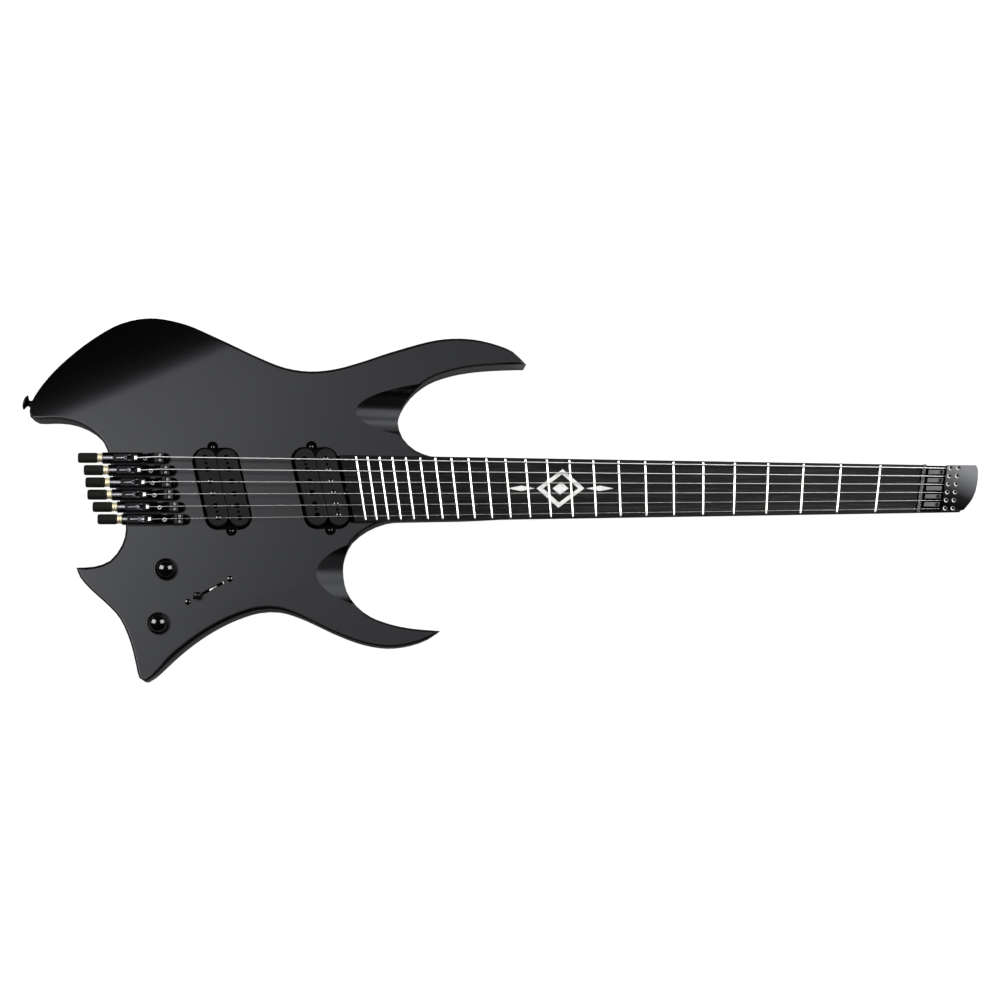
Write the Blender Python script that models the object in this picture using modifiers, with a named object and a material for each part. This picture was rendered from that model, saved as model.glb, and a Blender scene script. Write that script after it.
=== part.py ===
"""Headless multi-scale electric guitar, lying on its back.

The guitar points its neck along +X, its bass side along +Y and its front along +Z. The origin is on
the flat back, under the middle of the bridge line. Sizes are in millimetres and MM turns them into
metres where a mesh is made.
"""

import math

import bmesh
import bpy
from mathutils import Matrix, Vector

MM = 0.001

# Fits
GAP = 0.3                      # between pieces that touch or lie in each other
COVER_GAP = 0.4                # round the rear cover

# Scale and strings
STRINGS = 6
BASS_SCALE = 665.5             # nut to bridge line along the thickest string
TREBLE_SCALE = 647.7           # nut to bridge line along the thinnest string
NUT_SPREAD = 36.3              # outer string to outer string at the nut
BRIDGE_SPREAD = 53.3           # outer string to outer string at the bridge line
NUT_SLANT = 5.96               # bass nut point ahead of treble nut point
STRING_SIZES = (1.17, 0.91, 0.66, 0.43, 0.33, 0.25)
COMPENSATION = (6.6, 3.8, 4.7, 5.3, 3.1, 1.2)   # saddle crest behind the bridge line, per string
STRING_RISE_NUT = 0.8          # underside of a string above the fret tops at the nut
STRING_RISE_BRIDGE = 2.6       # and at the bridge line

# Heights above the table
BODY_THICK = 40.0
BOARD_UNDER = 43.4             # joint between neck and fretboard
BOARD_THICK = 6.0
FRET_HEIGHT = 1.2
BOARD_RADIUS = 400.0           # camber of the playing surface
BOARD_TOP = BOARD_UNDER + BOARD_THICK
FRET_TOP = BOARD_TOP + FRET_HEIGHT

# Body
FRONT_ROUND = 2.6
BACK_ROUND = 4.0
LOWER_BEVEL = 2.8              # extra rounding along the lower edge
ROUND_STEPS = 2
OUTLINE_STEP = 9.0             # longest side of the sampled outline
FOREARM_START = (-102.9, 69.1)
FOREARM_END = (44.0, 132.9)
FOREARM_ARC = 70.0
FOREARM_SLOPE = 18.0
BELLY_START = (-100.0, 104.0)
BELLY_END = (130.0, 118.0)
BELLY_ARC = 90.0
BELLY_SLOPE = 14.0
UPPER_SCOOP = (160.0, 68.8)    # where the scoop in the upper cutaway starts
UPPER_SCOOP_RADIUS = 29.0
UPPER_SCOOP_TILT = 13.7
LOWER_SCOOP = (125.5, -73.5)
LOWER_SCOOP_RADIUS = 38.0
LOWER_SCOOP_TILT = 20.5
HEEL_CARVE = (178.0, 3.0)
HEEL_CARVE_RADIUS = 60.0
HEEL_CARVE_TILT = 14.0

# Neck
NECK_NUT_HALF = 21.2           # half width at the nut
NECK_FLARE = 0.0158            # half width gained per millimetre towards the body
HEEL_END = 250.0               # where the square heel turns into the round neck
HEEL_BLEND = 44.0
HEEL_THICK = 25.4              # heel with fretboard
NECK_THICK_BODY = 22.4
NECK_THICK_NUT = 19.5
HEAD_TIP = 710.0
BOARD_START = 152.3            # slanted end of fretboard and tenon, on the centre line
FRETS = 24
FRET_WIDTH = 2.4
FRET_OVERHANG = 0.6            # fret end short of the board edge
NUT_WIDTH = 3.0
ROD_WIDTH = 6.0
ROD_DEEP = 8.4
ROD_START = 157.0
ROD_END = 640.0
ROD_NUT_RADIUS = 2.8
ROD_NUT_LENGTH = 6.4

# String lock at the head, measured from the nut line
LOCK_START = 4.0
LOCK_FIN_START = 5.6
LOCK_FIN_END = 19.4
LOCK_BLOCK_START = 21.3
LOCK_SCREW_ROWS = (24.5, 31.5)
LOCK_BORE_END = 36.5
LOCK_FLOOR = 48.6
LOCK_FIN_TOP = 52.6
LOCK_TOP = 54.5
LOCK_SLOT = 3.4
LOCK_BORE = 2.4
LOCK_SCREW = 4.2
LOCK_SCREW_DEEP = 1.2
LOCK_STRING_HEIGHT = 50.4

# Single-string bridges, measured from the saddle crest along the string
UNIT_WIDTH = 9.2
UNIT_WALL = 1.2
UNIT_FLOOR = 2.0
UNIT_BACK = -46.5
UNIT_NOSE = 11.8
UNIT_BLOCK = 3.9               # bearing block at the back
UNIT_WALL_TOP = 8.0            # side walls above the body
UNIT_LOW_WALL_TOP = 3.9        # side walls beside the saddle
UNIT_LOW_START = -12.0
UNIT_AXIS = 6.0                # rod axis above the body
UNIT_SCREW = 3.9
UNIT_SCREW_PLACES = (-10.4, 9.0)
ROD_DIAMETER = 3.9             # threaded rod, M4
ROD_PITCH = 0.7
ROD_TIP = -27.3
KNOB_DIAMETER = 8.3
KNOB_LENGTH = 16.6
KNOB_SIDES = 20
WASHER_LENGTH = 3.6
WASHER_DIAMETER = 7.0
BALL_DIAMETER = 3.8
BALL_WIDTH = 3.2
BALL_PLACES = (-17.9, -20.2, -18.1, -18.7, -20.6, -22.8)
BALL_HEIGHT = 6.8              # above the body
CARRIAGE_BEHIND = 19.5
CARRIAGE_AHEAD = 3.0
CARRIAGE_HEIGHT = 9.0
CARRIAGE_TRAVEL = 5.5          # from string at pitch to string slack
CARRIAGE_SLOT = 1.7
SADDLE_BACK = -4.0
SADDLE_FRONT = 6.0
SADDLE_WIDTH = 8.2
SADDLE_SCREW = 2.4
SADDLE_SCREW_PLACE = 3.0

# Pickups
PICKUP_SLANT = 12.8            # degrees
PICKUP_PLACES = {"bridge": (43.7, 0.5), "neck": (129.5, 1.1)}
COIL_SHIFT = (0.6, 0.3)        # coils off the middle of their rout
COIL_WIDTH = 17.7
COIL_LENGTH = 68.5
COIL_PITCH = 18.5              # along the strings
COIL_TOP = 48.5
COIL_HEIGHT = 14.0
COIL_FLANGE = 2.0
COIL_WAIST = 1.0
POLE_DIAMETER = 4.8
POLE_RISE = 0.5
POLE_PITCH = {"bridge": 10.8, "neck": 10.1}
PICKUP_EAR = 37.5              # ear screw from the pickup's middle
PICKUP_EAR_RADIUS = 3.9
PICKUP_EAR_GAP = 0.9
PICKUP_PLATE = 1.6
PICKUP_CAVITY_FLOOR = 18.0
PICKUP_CAVITY_GAP = 2.5
PICKUP_SCREW = 3.0
PICKUP_SCREW_HEAD = 5.2
PICKUP_SCREW_TOP = 37.6

# Controls
VOLUME_PLACE = (-3.9, -69.8)
TONE_PLACE = (-10.2, -116.5)
DIAL_DIAMETER = 19.2
DIAL_HEIGHT = 14.6
DIAL_STRAIGHT = 4.2
DIAL_LIFT = 0.6
POT_DIAMETER = 24.0
POT_HEIGHT = 10.0
POT_BUSH = 9.4
POT_NUT = 13.0
POT_NUT_HEIGHT = 2.2
POT_SHAFT = 6.0
POT_SHAFT_TOP = 11.0           # above the body
SWITCH_PLACE = (32.8, -87.9)
SWITCH_ANGLE = 28.7
SWITCH_SCREWS = 41.3
SWITCH_PLATE = (47.0, 10.0, 1.6)
SWITCH_SLOT = (31.0, 2.4)
SWITCH_PIVOT = 21.0            # pivot below the front of the body
SWITCH_LEAN = 18.5             # lever from upright towards the tail, degrees
SWITCH_TIP = 15.5              # lever tip above the body
SWITCH_CHEEK = 1.2
SWITCH_FRAME = 22.0            # length of the frame's cheeks
SWITCH_PIN = 2.4
SWITCH_ARM = (5.0, 1.4)
SWITCH_CAP = 6.4
CAVITY_FRONT_WALL = 5.0
COVER_THICK = 2.0
COVER_LEDGE = 5.0

# Output jack and strap buttons
JACK_Y = -91.0
JACK_SEAT = -53.0
JACK_BARREL = 12.4
JACK_LENGTH = 33.0
JACK_SOCKET = 6.6
JACK_FLANGE = 16.0
JACK_FLANGE_THICK = 2.4
JACK_RECESS = 19.0
STRAP_HEAD = 13.0
STRAP_HEIGHT = 8.6
STRAP_SCREW = 3.4
STRAP_SCREW_DEEP = 10.0
TAIL_STRAP = (-122.3, 76.4)
TAIL_STRAP_TURN = 164.0        # direction it points, degrees from +X
HEEL_STRAP = (224.0, 3.0)

# Corner-to-corner stretches of the body outline, anticlockwise from the tail spike
TAIL_AND_LOWER_EDGE = (
    (-81.4, -67.9), (-78.0, -76.3), (-69.5, -86.2), (-52.1, -102.2), (-43.3, -112.5), (-34.4, -132.8),
    (-29.3, -153.0), (-26.5, -163.4), (-21.2, -167.0), (-14.9, -163.3), (6.4, -143.7), (23.8, -130.1),
    (41.2, -119.4), (58.5, -111.5), (75.9, -106.4), (93.3, -106.0), (110.9, -111.2), (146.0, -127.4),
    (167.0, -134.9), (188.0, -138.2), (207.9, -135.9), (223.2, -130.5), (233.2, -123.8))
LOWER_CUTAWAY_TO_UPPER_HORN = (
    (233.2, -123.8), (207.0, -121.4), (189.6, -117.7), (172.2, -111.0), (160.1, -101.5), (151.8, -88.6),
    (148.8, -70.2), (150.7, -57.5), (157.0, -45.0), (170.3, -34.4), (187.0, -27.7), (206.0, -25.4),
    (224.0, -19.0), (238.0, -4.0), (244.6, 14.0), (242.0, 26.0), (224.9, 29.5), (212.0, 34.6),
    (201.0, 45.2), (196.9, 59.0), (200.0, 71.3), (209.0, 84.8), (224.3, 97.1), (244.4, 104.6),
    (266.1, 108.5), (289.0, 110.2), (310.1, 110.9))
UPPER_EDGE_TO_TAIL_SPIKE = (
    (310.1, 110.9), (298.3, 122.4), (287.1, 127.4), (269.9, 132.1), (251.9, 133.9), (230.2, 132.2),
    (190.3, 121.2), (163.9, 112.3), (142.1, 106.3), (119.8, 104.1), (97.9, 107.3), (76.0, 115.8),
    (40.8, 132.4), (6.0, 147.1), (-21.0, 151.8), (-45.7, 147.2), (-71.4, 132.1), (-96.9, 110.1),
    (-111.7, 92.6), (-121.2, 76.5), (-123.0, 69.0), (-122.3, 63.6), (-118.1, 61.4), (-99.1, 61.4),
    (-83.7, 58.8), (-68.6, 51.2), (-58.5, 40.3), (-53.6, 27.0), (-49.6, 6.0), (-43.0, -15.0),
    (-39.1, -34.2), (-42.4, -48.4), (-52.4, -61.9), (-65.9, -67.0), (-81.4, -67.9))
CONTROL_CAVITY = (
    (-40.0, -102.0), (-25.0, -128.0), (-10.0, -134.0), (8.0, -126.0), (30.0, -110.0), (66.0, -92.0),
    (66.0, -66.0), (50.0, -56.0), (-30.0, -56.0), (-40.0, -78.0))
HEAD_OUTLINE = ((706.9, 20.3), (708.4, 16.8), (708.5, 12.0), (707.7, 5.0), (705.8, -3.0), (703.0, -9.3),
                (699.5, -14.2), (694.9, -19.3))


# Collections, materials and finished objects

guitar = bpy.data.collections.new("headless_guitar")
cutters = bpy.data.collections.new("cutters")


def clear_scene():
    """Start from an empty scene."""
    for item in list(bpy.data.objects):
        bpy.data.objects.remove(item)
    for group in (guitar, cutters):
        bpy.context.scene.collection.children.link(group)


def material(name, colour, roughness, metallic=0.0):
    """A plain finish for one kind of piece."""
    finish = bpy.data.materials.get(name)
    if finish is None:
        finish = bpy.data.materials.new(name)
        finish.use_nodes = True
        shader = finish.node_tree.nodes["Principled BSDF"]
        shader.inputs["Base Color"].default_value = (*colour, 1.0)
        shader.inputs["Roughness"].default_value = roughness
        shader.inputs["Metallic"].default_value = metallic
    return finish


def body_finish():
    return material("charcoal_satin", (0.055, 0.057, 0.065), 0.45)


def wood_finish():
    return material("dark_neck_wood", (0.045, 0.045, 0.05), 0.5)


def board_finish():
    return material("ebony", (0.02, 0.019, 0.02), 0.5)


def black_metal():
    return material("black_metal", (0.02, 0.02, 0.022), 0.3, 0.8)


def grey_metal():
    return material("grey_metal", (0.35, 0.36, 0.38), 0.35, 0.9)


def steel():
    return material("steel", (0.6, 0.6, 0.62), 0.3, 1.0)


def brass():
    return material("brass", (0.75, 0.62, 0.35), 0.3, 1.0)


def black_plastic():
    return material("black_plastic", (0.03, 0.03, 0.032), 0.5)


def gloss_black():
    return material("gloss_black", (0.008, 0.008, 0.009), 0.08)


def place(name, mesh, finish, group=None, matrix=None):
    """Link a mesh as a named object with one finish."""
    item = bpy.data.objects.new(name, mesh)
    (group or guitar).objects.link(item)
    if matrix is not None:
        item.matrix_world = matrix
    if finish is not None and not mesh.materials:
        mesh.materials.append(finish)
    return item


def smooth(item, angle=32.0):
    """Shade a round piece smooth, with its real edges left sharp."""
    item.data.shade_smooth()
    item.data.set_sharp_from_angle(angle=math.radians(angle))
    return item


def as_cutter(item):
    """Show a cutting tool as wire, out of the render."""
    item.hide_render = True
    item.display_type = "WIRE"
    return item


def cut(item, tool, operation="DIFFERENCE"):
    """Cut a piece with a tool, or join the tool's shape to it."""
    step = item.modifiers.new(tool.name, "BOOLEAN")
    step.operation = operation
    step.object = as_cutter(tool)
    return item


def evaluated_mesh(item):
    """The mesh of an object with its modifiers, welded shut."""
    graph = bpy.context.evaluated_depsgraph_get()
    mesh = bpy.data.meshes.new_from_object(item.evaluated_get(graph))
    shape = bmesh.new()
    shape.from_mesh(mesh)
    bmesh.ops.remove_doubles(shape, verts=shape.verts, dist=0.0000002)
    shape.to_mesh(mesh)
    shape.free()
    return mesh


def settle(item):
    """Turn an object with modifiers into a plain mesh and drop its tools."""
    mesh = evaluated_mesh(item)
    tools = [step.object for step in item.modifiers if step.type == "BOOLEAN"]
    bpy.data.objects.remove(item)
    for tool in tools:
        bpy.data.objects.remove(tool)
    return mesh


# Basic forms

def plate(name, outline, low, high, group=None):
    """A flat piece: a filled outline between two heights."""
    curve = bpy.data.curves.new(name, "CURVE")
    curve.dimensions = "2D"
    curve.fill_mode = "BOTH"
    curve.extrude = 0.5 * (high - low) * MM
    line = curve.splines.new("POLY")
    line.points.add(len(outline) - 1)
    for point, (x, y) in zip(line.points, outline):
        point.co = (x * MM, y * MM, 0.0, 1.0)
    line.use_cyclic_u = True
    item = bpy.data.objects.new(name, curve)
    bpy.context.scene.collection.objects.link(item)
    mesh = evaluated_mesh(item)
    bpy.data.objects.remove(item)
    mesh.transform(Matrix.Translation((0.0, 0.0, 0.5 * (low + high) * MM)))
    return place(name, mesh, None, group or cutters)


def turned(name, profile, segments, group=None):
    """A turned piece round Z: the profile's (radius, height) points run from its top down."""
    mesh = bpy.data.meshes.new(name)
    line = bmesh.new()
    points = [line.verts.new((radius * MM, 0.0, height * MM)) for radius, height in profile]
    for first, second in zip(points, points[1:]):
        line.edges.new((first, second))
    line.to_mesh(mesh)
    line.free()
    item = place(name, mesh, None, cutters)
    spin = item.modifiers.new("spin", "SCREW")
    spin.steps = segments
    spin.render_steps = segments
    spin.use_merge_vertices = True
    spin.merge_threshold = 0.00001
    mesh = settle(item)
    return place(name, mesh, None, group or cutters)


def rod(name, radius, start, end, segments, group=None):
    """A plain cylinder between two points, with its sides round its axis."""
    start = Vector(start) * MM
    end = Vector(end) * MM
    mesh = bpy.data.meshes.new(name)
    shape = bmesh.new()
    bmesh.ops.create_cone(shape, cap_ends=True, segments=segments, radius1=radius * MM,
                          radius2=radius * MM, depth=(end - start).length)
    shape.to_mesh(mesh)
    shape.free()
    turn = (end - start).to_track_quat("Z", "Y").to_matrix().to_4x4()
    mesh.transform(Matrix.Translation((start + end) / 2.0) @ turn)
    return place(name, mesh, None, group or cutters)


def block(name, low, high, group=None):
    """A box between two corners."""
    mesh = bpy.data.meshes.new(name)
    shape = bmesh.new()
    bmesh.ops.create_cube(shape, size=1.0)
    shape.to_mesh(mesh)
    shape.free()
    size = [(b - a) * MM for a, b in zip(low, high)]
    middle = [(a + b) * 0.5 * MM for a, b in zip(low, high)]
    mesh.transform(Matrix.Translation(middle) @ Matrix.Diagonal((*size, 1.0)))
    return place(name, mesh, None, group or cutters)


def loft(name, rings, group=None):
    """A skin over rings of equal count, closed at both ends."""
    mesh = bpy.data.meshes.new(name)
    shape = bmesh.new()
    rows = [[shape.verts.new(Vector(point) * MM) for point in ring] for ring in rings]
    count = len(rows[0])
    for low, high in zip(rows, rows[1:]):
        for i in range(count):
            j = (i + 1) % count
            shape.faces.new((low[i], low[j], high[j], high[i]))
    shape.faces.new(rows[0][::-1])
    shape.faces.new(rows[-1])
    bmesh.ops.recalc_face_normals(shape, faces=shape.faces)
    shape.to_mesh(mesh)
    shape.free()
    return place(name, mesh, None, group or cutters)


def arc(centre, radius, start, end, steps):
    """Points on an arc, angles in degrees."""
    points = []
    for i in range(steps + 1):
        angle = math.radians(start + (end - start) * i / steps)
        points.append((centre[0] + radius * math.cos(angle), centre[1] + radius * math.sin(angle)))
    return points


def slot_outline(length, width, steps=8):
    """A flat outline with two round ends, long side along Y."""
    reach = 0.5 * (length - width)
    top = arc((0.0, reach), 0.5 * width, 0.0, 180.0, steps)
    bottom = arc((0.0, -reach), 0.5 * width, 180.0, 360.0, steps)
    return top + bottom


def rounded(outline, radius, steps=4):
    """An anticlockwise outline with its corners rounded by arcs."""
    points = []
    count = len(outline)
    for i in range(count):
        here = Vector(outline[i])
        back = (Vector(outline[i - 1]) - here).normalized()
        ahead = (Vector(outline[(i + 1) % count]) - here).normalized()
        half = 0.5 * back.angle(ahead)
        reach = radius / math.tan(half)
        start = here + back * reach
        end = here + ahead * reach
        for k in range(steps + 1):
            t = k / steps
            points.append(tuple((1 - t) ** 2 * start + 2 * t * (1 - t) * here + t ** 2 * end))
    return points


def grown(outline, distance):
    """An anticlockwise outline moved outward by a distance, corners kept."""
    points = []
    count = len(outline)
    for i in range(count):
        here = Vector(outline[i])
        ahead = (Vector(outline[(i + 1) % count]) - here).normalized()
        back = (here - Vector(outline[i - 1])).normalized()
        normal_a = Vector((back.y, -back.x))
        normal_b = Vector((ahead.y, -ahead.x))
        mitre = (normal_a + normal_b).normalized()
        points.append(tuple(here + mitre * distance / max(0.3, mitre.dot(normal_a))))
    return points


def turned_in_plan(outline, centre, angle):
    """An outline turned by an angle in degrees and moved to a centre."""
    c = math.cos(math.radians(angle))
    s = math.sin(math.radians(angle))
    return [(centre[0] + c * x - s * y, centre[1] + s * x + c * y) for x, y in outline]


# Geometry that several pieces share

def string_share(number):
    """1 at the bass string, -1 at the treble string."""
    return 1.0 - 2.0 * (number - 1) / (STRINGS - 1)


def nut_line(y):
    """X of the nut's playing edge at a distance from the centre line."""
    middle = 0.5 * (BASS_SCALE + TREBLE_SCALE)
    return middle + y * NUT_SLANT / NUT_SPREAD


def bridge_line(y):
    """X of the bridge line, square strings meeting it at their scale length."""
    bass = nut_line(0.5 * NUT_SPREAD) - BASS_SCALE
    treble = nut_line(-0.5 * NUT_SPREAD) - TREBLE_SCALE
    return 0.5 * (bass + treble) + y * (bass - treble) / BRIDGE_SPREAD


def string_y(number, x):
    """Distance of a string from the centre line, at a place along the neck."""
    along = (nut_line(0.0) - x) / (nut_line(0.0) - bridge_line(0.0))
    return 0.5 * string_share(number) * (NUT_SPREAD + (BRIDGE_SPREAD - NUT_SPREAD) * along)


def camber(y):
    """Drop of the playing surface away from the centre line."""
    return BOARD_RADIUS - math.sqrt(BOARD_RADIUS ** 2 - y ** 2)


def neck_half(x):
    """Half width of the neck and fretboard."""
    return NECK_NUT_HALF + NECK_FLARE * (nut_line(0.0) - x)


def fret_line(number):
    """The fret's bass and treble points on the outer strings."""
    share = 1.0 - 2.0 ** (-number / 12.0)
    points = []
    for side, scale in ((0.5, BASS_SCALE), (-0.5, TREBLE_SCALE)):
        x = nut_line(side * NUT_SPREAD) - scale * share
        y = side * (NUT_SPREAD + (BRIDGE_SPREAD - NUT_SPREAD) * share)
        points.append(Vector((x, y)))
    return points


def saddle_x(number):
    """X of a string's saddle crest."""
    y = string_y(number, 0.0)
    return bridge_line(y) - COMPENSATION[number - 1]


def unit_y(number):
    """Y of a single-string bridge."""
    return 0.5 * BRIDGE_SPREAD * string_share(number)


def string_height(number, x):
    """Middle of a string above the table, between nut and saddle."""
    along = (nut_line(0.0) - x) / (nut_line(0.0) - bridge_line(0.0))
    rise = STRING_RISE_NUT + (STRING_RISE_BRIDGE - STRING_RISE_NUT) * along
    return FRET_TOP - camber(string_y(number, x)) + rise + 0.5 * STRING_SIZES[number - 1]


def end_x(y):
    """X of the slanted end that tenon and fretboard share."""
    return BOARD_START - y * math.tan(math.radians(PICKUP_SLANT))


# Body

def curve_through(points):
    """Points at even steps on a smooth curve through chosen points."""
    row = [Vector(point) for point in points]
    row = [2 * row[0] - row[1]] + row + [2 * row[-1] - row[-2]]
    result = []
    for a, b, c, d in zip(row, row[1:], row[2:], row[3:]):
        t1 = (b - a).length ** 0.5
        t2 = t1 + (c - b).length ** 0.5
        t3 = t2 + (d - c).length ** 0.5
        steps = max(1, math.ceil((c - b).length / OUTLINE_STEP))
        for k in range(steps):
            t = t1 + (t2 - t1) * k / steps
            a1 = a * (t1 - t) / t1 + b * t / t1
            a2 = b * (t2 - t) / (t2 - t1) + c * (t - t1) / (t2 - t1)
            a3 = c * (t3 - t) / (t3 - t2) + d * (t - t2) / (t3 - t2)
            b1 = a1 * (t2 - t) / t2 + a2 * t / t2
            b2 = a2 * (t3 - t) / (t3 - t1) + a3 * (t - t1) / (t3 - t1)
            result.append(b1 * (t2 - t) / (t2 - t1) + b2 * (t - t1) / (t2 - t1))
    return result


def body_outline():
    """The whole outline, anticlockwise."""
    points = []
    for stretch in (TAIL_AND_LOWER_EDGE, LOWER_CUTAWAY_TO_UPPER_HORN, UPPER_EDGE_TO_TAIL_SPIKE):
        points += curve_through(stretch)
    return points


def inward(points):
    """Inward direction at each point of an anticlockwise outline."""
    count = len(points)
    result = []
    for i in range(count):
        along = (points[(i + 1) % count] - points[i - 1]).normalized()
        result.append(Vector((-along.y, along.x)))
    return result


def room(points, directions):
    """How far each point can move inward before it meets the far side."""
    result = []
    for here, direction in zip(points, directions):
        best = 1000.0
        for other in points:
            span = other - here
            reach = direction.dot(span)
            if reach > 1e-6:
                best = min(best, span.length_squared / (2.0 * reach))
        result.append(best)
    return result


def lower_edge_share(point):
    """1 along the lower edge between tail and waist, 0 elsewhere."""
    if point.y > -100.0 or point.x > 130.0:
        return 0.0
    rise = min(1.0, max(0.0, (point.x + 16.0) / 16.0))
    fall = min(1.0, max(0.0, (130.0 - point.x) / 50.0))
    return rise * fall


def body_blank():
    """The body with its rounded front and back edges, before it is routed and carved."""
    points = body_outline()
    directions = inward(points)
    free = [0.6 * reach for reach in room(points, directions)]
    fronts = [FRONT_ROUND + LOWER_BEVEL * lower_edge_share(point) for point in points]
    rings = []
    for k in range(ROUND_STEPS + 1):
        angle = 0.5 * math.pi * k / ROUND_STEPS
        ring = []
        for point, direction, limit in zip(points, directions, free):
            move = min(BACK_ROUND, limit) * (1.0 - math.sin(angle))
            height = BACK_ROUND * (1.0 - math.cos(angle))
            ring.append((*(point + direction * move), height))
        rings.append(ring)
    for k in range(ROUND_STEPS + 1):
        angle = 0.5 * math.pi * k / ROUND_STEPS
        ring = []
        for point, direction, limit, front in zip(points, directions, free, fronts):
            move = min(front, limit) * (1.0 - math.cos(angle))
            height = BODY_THICK - front * (1.0 - math.sin(angle))
            ring.append((*(point + direction * move), height))
        rings.append(ring)
    return loft("body", rings, guitar)


def contour_tool(name, start, end, radius, slope, surface, facing):
    """A tool that slopes a face away beyond a line: an arc, then a straight ramp."""
    steps = 4
    first = 0.5 * slope / steps
    profile = [(-6.0, 6.0 * math.tan(math.radians(first)))]
    for k in range(steps + 1):
        angle = math.radians(slope * k / steps)
        profile.append((radius * math.sin(angle), -radius * (1.0 - math.cos(angle))))
    ramp = 90.0
    profile.append((profile[-1][0] + ramp, profile[-1][1] - ramp * math.tan(math.radians(slope))))
    profile.append((profile[-1][0], 20.0))
    profile.append((-6.0, 20.0))
    along = Vector((end[0] - start[0], end[1] - start[1], 0.0))
    reach = 0.5 * along.length + 40.0
    tool = plate(name, profile, -reach, reach)
    along.normalize()
    out = Vector((-along.y, along.x, 0.0))
    up = Vector((0.0, 0.0, facing))
    side = out.cross(up)
    middle = Vector(((start[0] + end[0]) * 0.5, (start[1] + end[1]) * 0.5, surface)) * MM
    turn = Matrix((out, up, side)).transposed().to_4x4()
    tool.matrix_world = Matrix.Translation(middle) @ turn
    return tool


def scoop_tool(name, start, surface, radius, tilt, facing):
    """A round tool whose lowest line enters a face at a point and sinks towards the neck."""
    slope = math.radians(tilt)
    along = Vector((math.cos(slope), 0.0, -facing * math.sin(slope)))
    lift = Vector((math.sin(slope), 0.0, facing * math.cos(slope)))
    entry = Vector((start[0], start[1], surface)) + lift * radius
    return rod(name, radius, entry - along * 60.0, entry + along * 120.0, 48)


def slanted(along):
    """A point on the pickup's slanted middle line."""
    turn = math.radians(PICKUP_SLANT)
    return -along * math.sin(turn), along * math.cos(turn)


def pickup_outline(centre, grow, ear_grow):
    """Round the ends of two slanted coils side by side, with an ear above and below."""
    radius = 0.5 * COIL_WIDTH + grow
    ear = PICKUP_EAR_RADIUS + ear_grow
    half = 0.5 * COIL_PITCH
    far_x, far_y = slanted(0.5 * (COIL_LENGTH - COIL_WIDTH))
    ear_x, ear_y = slanted(PICKUP_EAR)
    points = arc((half + far_x, far_y), radius, PICKUP_SLANT, 90.0, 4)
    points += arc((ear_x, ear_y), ear, -10.0, 190.0, 8)
    points += arc((far_x - half, far_y), radius, 90.0, 180.0 + PICKUP_SLANT, 5)
    points += arc((-half - far_x, -far_y), radius, 180.0 + PICKUP_SLANT, 270.0, 4)
    points += arc((-ear_x, -ear_y), ear, 170.0, 370.0, 8)
    points += arc((half - far_x, -far_y), radius, 270.0, 360.0 + PICKUP_SLANT, 5)
    return [(centre[0] + x, centre[1] + y) for x, y in points]


def switch_point(along, across=0.0):
    """A plan point of the blade switch, from its middle."""
    turn = math.radians(SWITCH_ANGLE)
    x = SWITCH_PLACE[0] + along * math.cos(turn) - across * math.sin(turn)
    y = SWITCH_PLACE[1] + along * math.sin(turn) + across * math.cos(turn)
    return x, y


def box_outline(length, width):
    """A rectangle about the origin, long side along X."""
    a = 0.5 * length
    b = 0.5 * width
    return [(-a, -b), (a, -b), (a, b), (-a, b)]


def heel_floor(x):
    """Height of the carved heel above the table."""
    return max(0.0, (x - HEEL_CARVE[0]) * math.tan(math.radians(HEEL_CARVE_TILT)))


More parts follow.
